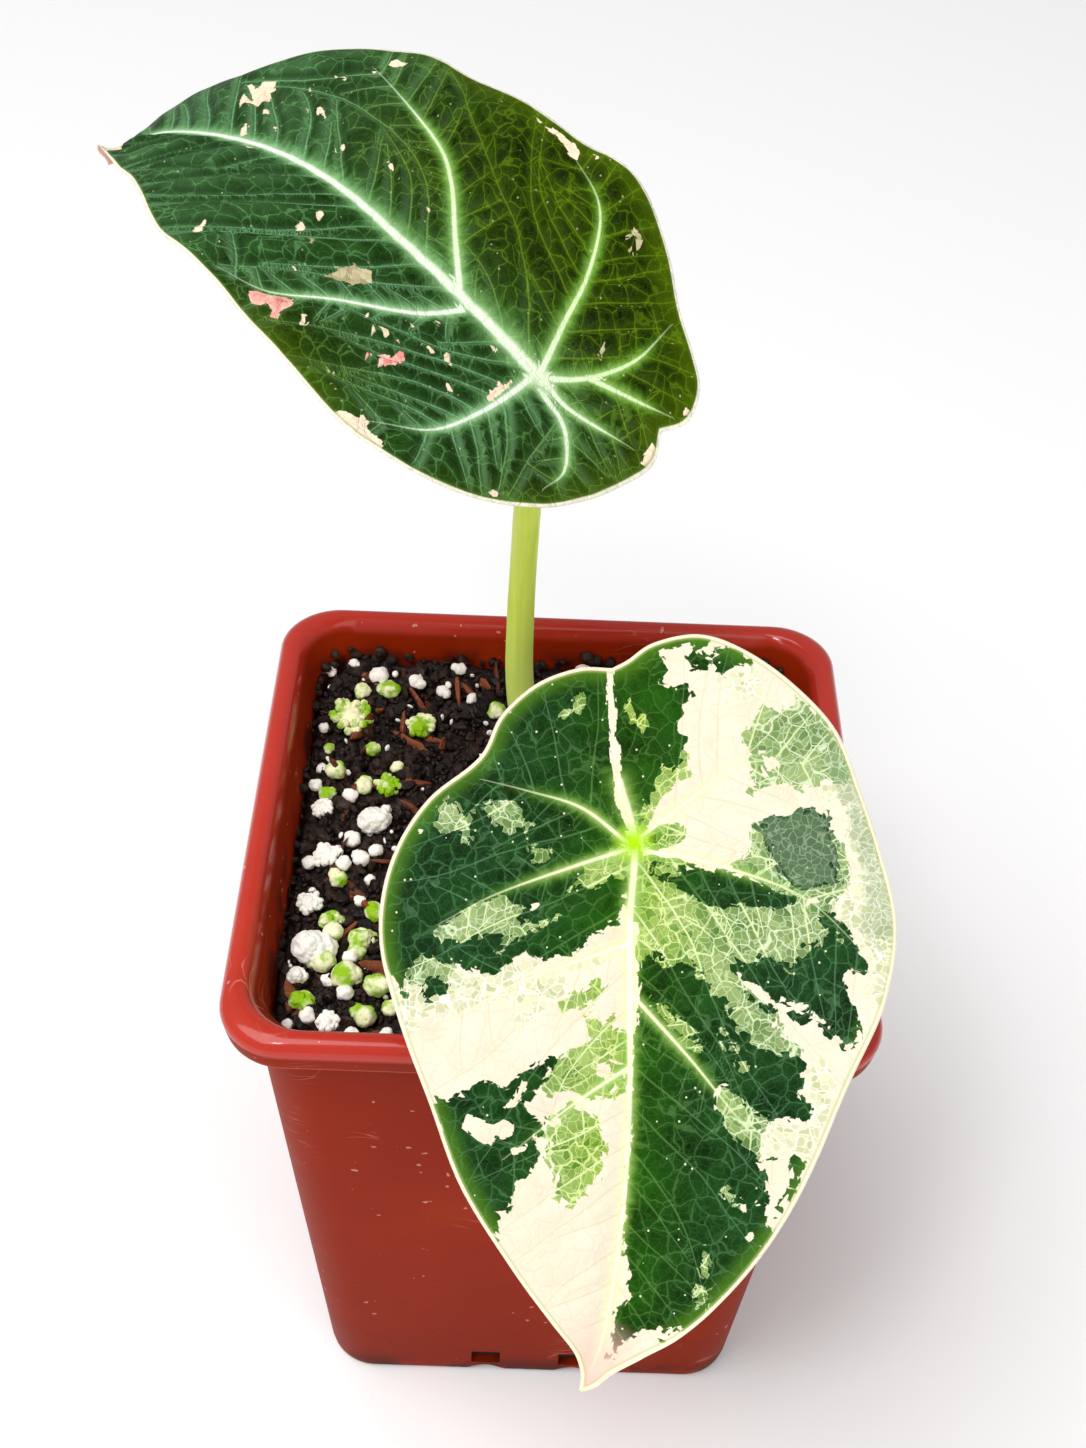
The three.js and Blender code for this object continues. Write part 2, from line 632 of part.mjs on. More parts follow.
const grains = makeGrains();
const group = new THREE.Group();
group.add(named(makePot(), 'pot', MATERIALS.pot));
group.add(named(makeSoil(grains), 'soil', MATERIALS.soil));
group.add(named(makeStem(), 'stem', MATERIALS.stalk));
group.add(placedLeaf(UPPER_LEAF, 'upper_leaf', MATERIALS.upperLeaf));
group.add(placedLeaf(LOWER_LEAF, 'lower_leaf', MATERIALS.lowerLeaf));
for (const grain of grains) {
  group.add(named(grain.shape, grain.name, grain.green ? MATERIALS.algae : MATERIALS.perlite));
}

export default group;
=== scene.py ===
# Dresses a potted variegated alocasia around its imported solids: two leaves with veins and
# patches, their stalks, potting mix with loose grains, and a square plastic pot.
# Leaf sizes are in millimetres on the leaf's own plane, and meshes are in metres.

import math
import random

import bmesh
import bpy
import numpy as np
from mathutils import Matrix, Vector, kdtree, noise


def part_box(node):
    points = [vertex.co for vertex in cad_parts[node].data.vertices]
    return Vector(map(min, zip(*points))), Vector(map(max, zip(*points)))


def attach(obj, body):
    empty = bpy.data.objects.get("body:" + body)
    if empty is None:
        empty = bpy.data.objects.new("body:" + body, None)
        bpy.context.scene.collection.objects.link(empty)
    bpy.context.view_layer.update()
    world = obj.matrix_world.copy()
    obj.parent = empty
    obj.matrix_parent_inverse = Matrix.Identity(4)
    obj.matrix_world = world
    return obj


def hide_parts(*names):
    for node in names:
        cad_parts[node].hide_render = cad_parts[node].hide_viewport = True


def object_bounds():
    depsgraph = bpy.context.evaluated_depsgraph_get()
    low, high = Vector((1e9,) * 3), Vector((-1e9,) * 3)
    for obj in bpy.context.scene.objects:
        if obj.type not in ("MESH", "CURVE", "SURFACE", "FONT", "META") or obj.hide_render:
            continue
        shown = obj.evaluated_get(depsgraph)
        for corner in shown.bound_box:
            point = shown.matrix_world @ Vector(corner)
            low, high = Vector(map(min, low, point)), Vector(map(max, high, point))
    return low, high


bl_info = {
    "name": "Potted Variegated Alocasia",
    "version": (1, 0, 0),
    "blender": (4, 5, 0),
    "location": "3D View > Sidebar > Alocasia",
    "description": "Leaves, stalks, potting mix, grains and pot of a small potted alocasia",
    "category": "Add Mesh",
}

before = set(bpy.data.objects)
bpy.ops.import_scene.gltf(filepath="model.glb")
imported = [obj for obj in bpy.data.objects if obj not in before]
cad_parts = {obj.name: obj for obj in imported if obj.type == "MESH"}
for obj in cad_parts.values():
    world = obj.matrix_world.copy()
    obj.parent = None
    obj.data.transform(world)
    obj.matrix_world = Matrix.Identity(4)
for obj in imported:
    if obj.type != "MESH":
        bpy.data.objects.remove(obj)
CAD_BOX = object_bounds()
POT_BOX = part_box("pot")

MM = 0.001
TURN = 2 * math.pi
BODY = "root"

# How a blade bends: the power of its droop, the pitch of its ripples and the width they need
DROOP_POWER = 12
RIPPLE_PITCH = 0.42
RIPPLE_REACH = 25
FOLD_ROUND = 3

# Half widths of the pot's wall at its foot and under its lip, and the height between, in mm
FOOT_HALF = 26.8
WALL_WIDENING = 5.2
WALL_HEIGHT = 77.8

# Level of the potting mix at the wall, its crown, its rise to the back and its clods, in mm
MIX_LEVEL = 73.6
MIX_CROWN = 1.2
MIX_RISE = 2.2
MIX_CLODS = 0.44
MIX_REACH = 32

# The stem's rooted base: its place, and its radius at heights over the mix, in mm
BASE_AT = (-0.5, 6.0)
BASE_PROFILE = (
    (-15, 0.8), (-14, 3.2), (-10, 4.5), (-6, 4.4), (-2, 4.0), (0.5, 3.6), (2.5, 3.1),
    (4.3, 1.9), (4.8, 0.6),
)

# Each leaf lies on a frame of its own where the stalk meets the blade: u runs to the tip and v
# across, and the height over that plane is a formula. Places outside the leaf are in the pot's
# frame. Patches are closed outlines on the leaf's plane, read off.
UPPER_LEAF = {
    "at": (-4, 10.8, 133),
    "heading": 145,
    "slope": 5,
    "roll": 8,
    "reach": 60,
    "arch": 7,
    "fold": 0.2,
    "droop": 1,
    "bow": -6,
    "bow_reach": 38,
    "ripple": 0.7,
    "curl": 2,
    "quilt": 1.0,
    "groove": 0.2,
    "rib_half": 0.95,
    "vein_half": 0.42,
    "side_angles": {-1: 50, 1: 62},
    "stalk": ((-2.6, 8.4, 80), (-4.6, 11.6, 90), (-4.9, 12, 101), (-4.7, 10.8, 114),
              (-4.4, 10.4, 124)),
    "spine": ((-11, -6.7), (-5, -3), (0, -0.6), (10, -1.6), (20, -3), (30, -5), (40, -6.1),
              (52, -6.2), (60, -6.2), (66.4, -4.9)),
    "left": ((-11, -6.7), (-12.3, -3.5), (-11.6, 1), (-10.6, 6), (-8.6, 11.4), (-5, 16.3),
             (0, 20.1), (5, 21.4), (11, 21), (18, 19.9), (26, 17.2), (31, 16.2), (36, 14.7),
             (40, 12.6), (44.5, 9.6), (49, 6.8), (54, 4.3), (60, 1), (64, -1.9), (66.4, -4.9)),
    "right": ((-11, -6.7), (-12.2, -10), (-11.2, -13.4), (-8.6, -15.5), (-5, -18),
              (-1, -21.7), (3.6, -24.4), (8.4, -25.5), (14.5, -25.4), (21, -24.9),
              (27, -25.1), (32.5, -25.4), (37.5, -24.3), (42.5, -23.5), (47, -21.7),
              (51, -19), (55, -16.5), (59.3, -14.5), (62.6, -11.9), (65, -8.5),
              (66.4, -4.9)),
    "veins": (
        ((12.1, -2.6), (16.2, -7.1), (20.9, -12.4), (26, -16), (38.6, -21.2)),
        ((0.6, -1), (2.1, -7), (3.6, -13.5), (6.8, -19.7), (13, -23.4)),
        ((0, -1), (-2.9, -4.7), (-5.1, -10), (-5.5, -15.9)),
        ((-2.9, -4.7), (-7.9, -7.1), (-11, -8.8)),
        ((-0.5, -0.6), (-3.8, -0.6), (-10, -2.9)),
        ((-1, 0.5), (-4.5, 1.6), (-7.4, 5.4), (-7.6, 9.4)),
        ((0.9, 0), (1.1, 8), (2.3, 14.6), (6.2, 19)),
        ((10.1, -0.6), (12.8, 4.2), (18, 9.4), (22.5, 13.8), (28, 15.2)),
    ),
}
LOWER_LEAF = {
    "at": (7.3, -22.8, 101.6),
    "heading": -94,
    "slope": -43,
    "roll": -3,
    "reach": 54,
    "arch": 3,
    "fold": 0.06,
    "droop": 1.5,
    "bow": 2,
    "bow_reach": 30,
    "ripple": 0.5,
    "curl": 1.2,
    "quilt": 0.18,
    "groove": 0.5,
    "rib_half": 0.5,
    "vein_half": 0.26,
    "side_angles": {-1: 54, 1: 50},
    "stalk": ((0.9, 3.4, 80), (2.8, -3, 88), (5.2, -11, 94), (7, -18.5, 98.4)),
    "spine": ((-17.7, -4), (-12, -3.4), (-6, -2.1), (0, 0), (8, 0.3), (16, 1), (25, 1.8),
              (34, 2.1), (42, 1.8), (48, 1.2), (52, 0.3), (55, -0.9)),
    "left": ((-17.7, -4), (-18.7, -2.5), (-20.8, 0), (-22.1, 4.5), (-21, 9),
             (-17.9, 14.2), (-13.2, 19.1), (-7.2, 22), (-1.2, 24.3), (6, 26.3), (13, 25.7),
             (21, 22.9), (31, 19.5), (38, 16.2), (43.8, 12.2), (47.6, 8.6), (50, 5.2),
             (52.2, 2.4), (54, 0.8), (55, -0.9)),
    "right": ((-17.7, -4), (-17.4, -7.4), (-15.4, -11.5), (-11.8, -14.7), (-8.2, -15.9),
              (-6.2, -17.3), (-2.6, -21), (2, -23.4), (7.5, -24.4), (13, -24), (19.4, -21.4),
              (27, -17.8), (35, -13.9), (42.5, -8.4), (47.5, -4.2), (50.4, -1.7),
              (52.4, -0.9), (53.6, -0.8), (55, -0.9)),
    "veins": (
        ((0, -0.8), (-3, -5.6), (-4.2, -11), (-5, -16)),
        ((0.8, -0.8), (3.1, -6.2), (6.4, -13.3), (9.8, -18.6)),
        ((10, 0.3), (12.4, -5), (15, -10.5), (19.5, -17)),
        ((22, 1.4), (26, -3.6), (32, -10)),
        ((-0.6, 0.6), (-4.5, 4.9), (-8.9, 10.2), (-9.4, 18.5)),
        ((0.8, 1.4), (1.2, 6.7), (3.7, 16.7), (8.7, 23.4)),
        ((14.6, 0.8), (20.5, 7.3), (26.4, 13.2), (29.5, 17.8)),
    ),
}

# Deep green sectors of the lower leaf, one of them under a grey veil, and the pale islands in
# them
GREY_PATCH = (
    (-2.7, 11.6), (-3.8, 13.5), (-4, 15.3), (-5, 16.2), (-5.3, 17.1), (-4.7, 18.9), (-2.2, 19.6),
    (0.4, 20.2), (1.9, 20.7), (2.8, 19.6), (3, 17.8), (3.3, 15.8), (1.8, 14.6), (0.6, 13.8),
    (-0.2, 13.2), (-2, 12.8),
)

# The sage veil along the margin beside it
SAGE_VEIL = (
    (-13.4, 19), (-10.4, 21.2), (-6.4, 23.6), (-1.4, 25.6), (3.4, 26.8), (7.4, 27), (8.2, 25),
    (6.6, 23), (3.6, 22.8), (1.4, 22.4), (-0.8, 21.6), (-3.8, 20.8), (-6.4, 19.6), (-8.6, 18.8),
)
DEEP_PATCHES = (
    ((-19.4, -5), (-15, -5), (-8, -4), (-1, -1.6), (-0.6, -0.2), (-3, 0), (-8, -1.2), (-12, -2),
     (-17, -2.6), (-20, -3)),
    ((-18, -4.4), (-19, -8), (-16, -13), (-12, -17), (-6, -21.5), (0, -25), (6, -26), (12, -25.5),
     (17.2, -21), (15.3, -21), (13.5, -20.5), (13, -19.7), (13.1, -18.7), (13.8, -17.7),
     (13.4, -16.2), (13.8, -15.2), (14.2, -14.2), (13.8, -12.2), (13, -11.2), (11.6, -9.7),
     (12.4, -8.2), (11.7, -6.5), (11.4, -5), (11, -4.1), (9.9, -3.4), (9.1, -3.1), (8.9, -2.2),
     (8.1, -1.6), (8, -0.8), (4.8, -0.4), (0.5, -0.6), (-0.6, -0.6), (-3.1, -1.6), (-5, -2.5),
     (-7.5, -2.9), (-11, -3.5), (-14, -4)),
    ((-19.6, -3.2), (-21.6, 0), (-23, 3), (-22.6, 6), (-20.9, 5.5), (-20.9, 3.7), (-20.4, 2.5),
     (-20, 1), (-18.8, 1.4), (-17.6, 1.7), (-16.7, 1.2), (-16.2, 2.1), (-16.9, 4), (-16, 4.1),
     (-15.4, 4.6), (-14.4, 3.3), (-13.5, 3.7), (-12.7, 3.1), (-11.3, 3.3), (-11.2, 4.4),
     (-10.6, 4.5), (-9, 3.9), (-8.1, 3.5), (-7.3, 2.8), (-7.9, 2.1), (-6.3, 1.6), (-5.2, 1.4),
     (-3.8, 1), (-1.8, 0.3), (-1.7, -0.1), (-3.1, -0.4), (-4.7, -1.5), (-7.5, -2), (-9.7, -2.4),
     (-11.8, -3), (-15.2, -3.4), (-18, -4)),
    ((-20.6, 4.3), (-20.2, 5.2), (-19.6, 6), (-20.2, 6.7), (-20.6, 6.4), (-20.9, 8), (-20.4, 9.4),
     (-19.7, 10.7), (-19, 10), (-19.2, 8.7), (-18.7, 7.8), (-18, 7.4), (-18.3, 6.4), (-18.9, 6.4),
     (-18.4, 5.9), (-18.3, 4.1), (-19.6, 3.6)),
    GREY_PATCH,
    ((2.6, 1.2), (1.4, 2.3), (1.9, 4.7), (1.7, 6.5), (2.1, 9.7), (2.9, 12.6), (3.7, 14.5),
     (4, 16.2), (4.8, 16), (5.4, 14.7), (5.3, 12.6), (5.3, 10.1), (5.8, 9.5), (5.4, 8.1),
     (5.3, 6.7), (4.6, 5.8), (4.2, 4.7), (3.7, 3.5), (3.3, 2.2)),
    ((-0.4, 1.6), (-0.9, 2.5), (-1.4, 3.4), (-1.3, 4), (-0.7, 3.2), (-0.3, 2.2)),
    ((10.6, 9.9), (10.4, 10.4), (11, 11.7), (11, 13.2), (10, 13.2), (9.8, 14.5), (10.5, 14.9),
     (9.6, 17.2), (8.8, 18.1), (8.5, 17.4), (8.3, 18.8), (7.3, 18.8), (7, 19.8), (6, 19),
     (5, 18.7), (5.3, 20.1), (6.1, 21.5), (7.1, 22), (7.8, 22.6), (8.9, 23.1), (9.7, 23.7),
     (10.7, 23.5), (10.6, 22), (11.4, 21.5), (12.5, 22.2), (14.6, 22.9), (16.2, 23.3),
     (17.4, 23.2), (17.9, 22), (17.3, 21.3), (16.5, 19.6), (16, 20.3), (15.2, 19.5), (13.9, 18.3),
     (14.3, 16.7), (13.8, 14.9), (12.9, 13.5), (12.3, 11.7), (11.6, 10.4)),
    ((13, 10.9), (13.2, 12.3), (13.8, 13), (14.4, 13.4), (14.4, 14.6), (15, 15.2), (15.3, 14.4),
     (14.6, 12.9), (13.9, 12)),
    ((14.9, 16.4), (15, 17.8), (14.6, 18.3), (15.5, 18.7), (16.2, 17.7), (15.7, 16.9)),
    ((10.4, 1.8), (10.7, 3.5), (11.2, 4.9), (11.2, 6.5), (12.4, 8.2), (12.5, 7.4), (13.2, 8.7),
     (14.1, 9), (14, 10.1), (14.8, 11.3), (14.9, 10.6), (16, 10.8), (16.9, 11.6), (17.5, 11.6),
     (17.5, 12.9), (18.6, 12.9), (18.9, 14.5), (19.3, 16), (18.8, 17.4), (19.8, 18.6), (21, 18.1),
     (23, 18.1), (23.6, 19.3), (25.4, 19), (25.2, 17.4), (25.5, 15.2), (24.8, 13.7), (23.8, 12.4),
     (22.8, 11), (23.2, 10.2), (25, 10.5), (25.7, 11), (26.5, 11.4), (27.3, 11.8), (28.3, 13.4),
     (29, 14.1), (29.7, 15), (31.5, 15.8), (33, 15.9), (35.5, 15.7), (36, 16.6), (39, 16),
     (43, 12.8), (47, 8.8), (46.4, 8.6), (47, 7.6), (48, 6.9), (47, 6.6), (47.2, 5), (48, 4.1),
     (48.8, 3.6), (49.4, 2.6), (50.3, 2.5), (51.4, 1.5), (49.5, 2), (48, 2), (45.8, 2.2), (45, 3),
     (44.2, 3.4), (43.2, 2.9), (42, 3.3), (40.2, 2.6), (38, 2.3), (35, 2.2), (30, 2.1), (25, 2),
     (20, 1.8), (15, 1.7), (12, 1.8)),
    ((28.4, 18.3), (29.3, 19.1), (31, 18.7), (32.8, 18), (34.9, 17.1), (34.6, 16.8), (33, 17.2),
     (32, 17.8), (30.4, 18.1), (29.4, 17.7)),
    ((29.5, 15.1), (28.7, 16.8), (29.3, 16.6), (29.8, 15.6)),
    ((21.5, -5.5), (23.3, -6.2), (24.7, -7.1), (25.9, -7.8), (27.4, -8.5), (27.7, -6.3),
     (29, -6.4), (29.8, -7.3), (31, -6.2), (33.1, -7.1), (34.4, -8.4), (36, -8.8), (37, -9.1),
     (37.2, -10.2), (38.6, -10), (40.1, -9.6), (39, -11), (36.3, -13.4), (34.7, -14.6),
     (32.7, -15.2), (30.8, -16), (28.6, -17), (26.6, -17.1), (26.6, -16), (25.9, -15),
     (25.9, -13.9), (24.8, -13.1), (24.4, -12.1), (24.7, -10.3), (23.3, -9.2), (22.6, -7.8),
     (21.6, -6.7)),
    ((15, -19.1), (14.9, -17.8), (15.4, -16.6), (16.4, -16.8), (16.9, -18), (17.4, -18.8),
     (17, -19.7), (16, -19.3)),
)
PALE_ISLANDS = (
    ((-2.8, -19), (-2.3, -17.8), (-1.4, -17.3), (-1.1, -16.5), (-0.5, -16.2), (0.4, -16.6),
     (1.1, -16), (1.9, -16.5), (1.6, -17.2), (0.3, -17.2), (0.3, -18.2), (0.6, -19.1), (0, -20),
     (-1.4, -20)),
    ((-1.8, -16.6), (-2.5, -14.9), (-2.7, -14), (-3, -12.4), (-2.2, -11.6), (-1.3, -11.5),
     (-0.9, -10.2), (-0.6, -10.8), (0, -10.7), (-0.3, -11.6), (0.2, -12.3), (-0.3, -13.6),
     (-0.9, -14.5), (-1.7, -15), (-1.5, -16.2)),
    ((-14.3, -7.3), (-14.7, -6.6), (-13.4, -6.5), (-12.2, -6.8), (-12, -7.2), (-12.9, -7.2),
     (-12.2, -7.7), (-11.5, -8.3), (-12.1, -8.9), (-12.9, -8.3), (-13.1, -7.5)),
    ((1.4, -10.3), (1.3, -9.5), (1.4, -8.4), (1.9, -8.2), (2.7, -9.1), (2.9, -10), (2.3, -10)),
    ((6.5, -12.7), (6.9, -11.8), (7.3, -11.4), (7.4, -10), (8.5, -10.9), (8.9, -10.2),
     (9.6, -10.5), (10.4, -11.4), (10.2, -13.6), (10.7, -15), (11.2, -15.9), (11, -17.7),
     (11.6, -18), (11.6, -18.4), (10.5, -18.5), (8.9, -17.3), (7.5, -15.5), (6.9, -14.1)),
    ((11.9, -12.4), (10.3, -11.4), (8.7, -10), (8.6, -8.6), (7.9, -6.7), (8.2, -6.7), (9.1, -8),
     (9.6, -9.5), (10.4, -10.5), (11.9, -11.8)),
    ((0.3, -0.6), (1.6, -3.2), (2.6, -5), (3.2, -4.4), (4.4, -5), (5.4, -6), (4.8, -3.6),
     (4.1, -2.5), (3.5, -2), (3.6, -0.4), (1.2, 0.2)),
    ((-14.5, -1.9), (-13.7, -2.3), (-13.3, -1.9), (-12.2, -1.4), (-12.4, -1.2), (-13.6, -1.4)),
    ((-12.9, -0.5), (-12.2, -0.6), (-11.3, -0.2), (-12, 0)),
    ((1.5, 1.4), (2.1, 2.4), (2.1, 3.4), (1.8, 4.4), (2.6, 4.7), (2.9, 4), (2.7, 2.8)),
    ((9.5, 16), (8.9, 17.3), (9.4, 17.6), (10.3, 16.8), (11.4, 16.7), (11, 15.8)),
    ((7.3, 20.4), (8, 21.3), (7.6, 21)),
    ((15, 3.1), (15.9, 4.7), (16.8, 5.8), (17.7, 7.8), (18.4, 7.7), (18.3, 6.5), (17.6, 5.2),
     (16.3, 3.8)),
    ((11.1, 3.3), (11.1, 4.6), (11.5, 5.3), (11.9, 4.8), (11.8, 4)),
    ((17.4, 9.9), (17.5, 11), (18, 10.8), (17.9, 9.8)),
    ((18.7, 10.3), (18.7, 11.8), (19.3, 12.6), (19.5, 12), (19.2, 10.6)),
    ((18.5, 5.8), (18.6, 7.6), (19.5, 8.3), (19.8, 8.2), (19.2, 7), (18.9, 6)),
    ((20.1, 11.8), (20.1, 12.8), (21, 12.7), (20.8, 12.1)),
    ((32.4, 11.4), (32.4, 12), (33.3, 12.8), (34.2, 13.2), (33.8, 12.4), (32.9, 11.6)),
    ((38.2, 10.2), (39.3, 10.8), (41.3, 10.8), (41, 10.4), (39.9, 9.9)),
    ((42.3, 9.5), (42.8, 10.4), (41.8, 11.6), (42.4, 11.5), (43.2, 9.9)),
    ((43.9, 10), (43.4, 11), (44.6, 10)),
)
CREAM_ISLANDS = (
    ((27.8, -13.9), (28.3, -12.3), (28.6, -11.2), (27.9, -10.2), (28.5, -9.3), (29.6, -9.3),
     (29.9, -10.3), (29.6, -10.9), (30.7, -11.3), (30.6, -12), (30, -13), (29.2, -14.2)),
    ((24.2, -8.9), (24.2, -8.1), (25.4, -8.7), (26.6, -9), (27.1, -10.5), (26.6, -10.2),
     (25.6, -9.2)),
    ((30.9, -9.4), (30.3, -7.8), (30.9, -7.9), (31.4, -9.1)),
    ((-19, -4.6), (-15, -4.2), (-11, -3.55), (-7.5, -2.95), (-5, -2.5), (-4, -2.5), (-3, -1.8),
     (-1, -0.8), (-1, -0.4), (-4, -1.5), (-5.2, -1.8), (-7, -2), (-9.5, -2.4), (-10.5, -2.9),
     (-12.5, -3), (-13.6, -3.1), (-15.3, -3.6), (-19, -4)),
    ((-6.4, -1.5), (-5.4, -1.5), (-5.3, -1.2), (-6.1, -1.2)),
    ((7, -9.3), (6.9, -8.8), (7.5, -9.4)),
    ((33.2, 13.3), (33.6, 13.9), (34.9, 14), (34.5, 13.5)),
    ((33.2, 14.6), (33.8, 15.2), (33.6, 14.6)),
    ((35.3, 13.1), (36.6, 13.5), (35.8, 13.6)),
    ((36.4, 14.6), (37.2, 15), (37.4, 14.4), (37, 14)),
    ((0.7, -21.6), (0.7, -21.1), (1.1, -21.2), (1.1, -21.6)),
)

# Lime to grey-green sectors with a clear net
MARBLED_PATCHES = (
    ((0.4, 0.6), (3.4, 2.2), (4.3, 4.7), (5.4, 6.8), (5.9, 9.5), (5.4, 12), (5.5, 14.7),
     (4.6, 16.8), (5, 18.5), (6.6, 19.5), (7.2, 19.2), (8, 18.8), (8.5, 17.2), (9.4, 16),
     (9.3, 15.2), (9.9, 13.3), (11, 12.6), (10.8, 11), (10.4, 9.6), (12, 10), (13, 10.8), (14, 12),
     (15, 13.5), (16, 14.6), (17.5, 16.5), (18.5, 17.2), (19, 16), (18.3, 14), (17.8, 11),
     (15.5, 10), (14.2, 9), (13.5, 8), (12.4, 7), (11.4, 5), (10.9, 2), (7, 0.9), (4, 0.4)),
    ((-10.9, 9.5), (-12.5, 10.2), (-13.6, 11), (-14.8, 12), (-14.4, 13), (-14.8, 14), (-15.3, 15),
     (-16.3, 14.8), (-15.3, 16.6), (-13.5, 18.6), (-11, 20.3), (-8.8, 21.2), (-7.5, 20.5),
     (-7.9, 18.9), (-7.2, 17.4), (-6.8, 16.2), (-7.2, 14.2), (-6.4, 12.6), (-5.8, 11.6),
     (-6.3, 10.6), (-7.3, 11.4), (-8.6, 11), (-9.9, 10.9)),
    ((-0.2, 11.6), (-2.4, 12.4), (-3, 15), (-3, 18), (-1, 20), (0.9, 21), (2.4, 20.6), (4, 19.4),
     (3.4, 17), (2.7, 15), (1.7, 12.6), (1.2, 10.5)),
    ((19.2, -1.4), (19.6, -2.6), (21, -4.2), (23, -4.9), (24.2, -5.9), (25.1, -5.6), (24.8, -3.7),
     (25.4, -2.6), (25, -1.4), (25.2, 0), (23.6, 0.6), (20.8, 0.8), (18.8, 0.2)),
    ((27.4, -4.9), (26, -4), (26.3, -2.6), (27, -1.2), (28.8, -0.2), (30.8, 0.1), (31.3, -0.4),
     (33, -0.7), (34.4, -1.6), (35.7, -3), (35.2, -4), (34.9, -5), (33, -4.8), (31, -5),
     (29.5, -5.4), (28.3, -4.9)),
    ((17.2, -5.5), (16.4, -5.7), (15.5, -4.5), (14.3, -3.2), (13.6, -2.2), (14, -1.3),
     (15.2, -1.6), (16, -3), (16.7, -4.3)),
    ((17.2, -3.2), (16.9, -2.4), (18, -1.6), (17, -0.5), (19.5, 0.2), (19.7, -2.2), (18.5, -3)),
    ((13.2, -20.7), (12.8, -19.2), (13.6, -18), (14.1, -17.2), (14.8, -18), (15, -20.4)),
    ((23.5, 11.3), (24.3, 12.8), (25.3, 14.2), (26.5, 14.8), (28, 14.4), (28.8, 14), (27.9, 12),
     (26.8, 11.2), (25.8, 11.2)),
    ((-8.4, 1.9), (-8.9, 3.8), (-7.4, 4.8), (-6.2, 3.4), (-5, 1.8), (-3, 1), (-1.2, 0.2),
     (-3.8, 0.6), (-6, 1.4)),
    ((-1.2, 1.4), (-1.5, 3), (-1.7, 4.5), (-1, 4.6), (-0.2, 3), (0, 1.8)),
)
MARBLED_HOLES = (
    ((-10, 11.9), (-9.7, 13.2), (-8.9, 14.1), (-8.2, 13.2), (-8.3, 12.6)),
    ((22.3, -2.3), (21.5, -0.2), (22.6, -0.1), (23.2, -1.2)),
    ((10.2, 10.6), (9.8, 11.6), (10.5, 12)),
    ((29.3, -3.4), (28.9, -3), (29.4, -2.7)),
)

# Beige sectors that a fine net shows through
BEIGE_PATCHES = (
    ((-18, 7), (-19.3, 9.5), (-18.6, 11.3), (-17, 11.6), (-16, 12), (-15.6, 11), (-15.5, 9.9),
     (-16.3, 8.6), (-17.2, 7.2)),
    ((-15.6, 13.8), (-13.6, 13.6), (-12.3, 14.2), (-12.3, 15.4), (-14, 15.4), (-15.4, 15)),
    ((-8, 19), (-9.5, 21.8), (-4, 24), (0, 26), (6, 27), (11, 26.6), (14.5, 25.4), (12.5, 23.8),
     (10.8, 23.7), (9.7, 23.8), (7.8, 22.7), (5.6, 20.6), (4.9, 18.9), (3.8, 19.6), (2.4, 20.8),
     (1.4, 21.6), (0.6, 22.6), (-0.6, 21.4), (-2.3, 20.6), (-3.4, 20.9), (-5, 20.4), (-6, 18),
     (-7.4, 17.4)),
    ((19.8, 18.8), (19.2, 20.2), (21, 21.8), (24, 21.4), (27, 20.4), (29, 19.6), (29, 18.4),
     (28.2, 17), (29.4, 15.4), (28, 14.5), (26.3, 14.8), (25.6, 16), (25.4, 19.2), (23.5, 19.5),
     (22, 18.2)),
    ((13.4, -22), (19, -22.4), (21.4, -20.8), (19.6, -19.4), (18.7, -17.5), (18.6, -15.8),
     (17.5, -14), (16.8, -12), (16.7, -10.4), (18.2, -10), (18.8, -9), (17.8, -8), (16.5, -6.4),
     (15.2, -5), (13.8, -5.2), (12.6, -7), (12.3, -9), (12.7, -11), (13.9, -13.6), (13.6, -16),
     (13.9, -17.5), (13, -19)),
    ((11, -2.2), (12, -6), (13.2, -5.4), (13.2, -2)),
)

# The bright point of the lower leaf and the pink at its tip
HUB = (0, 0)
TIP = (55, -0.9)

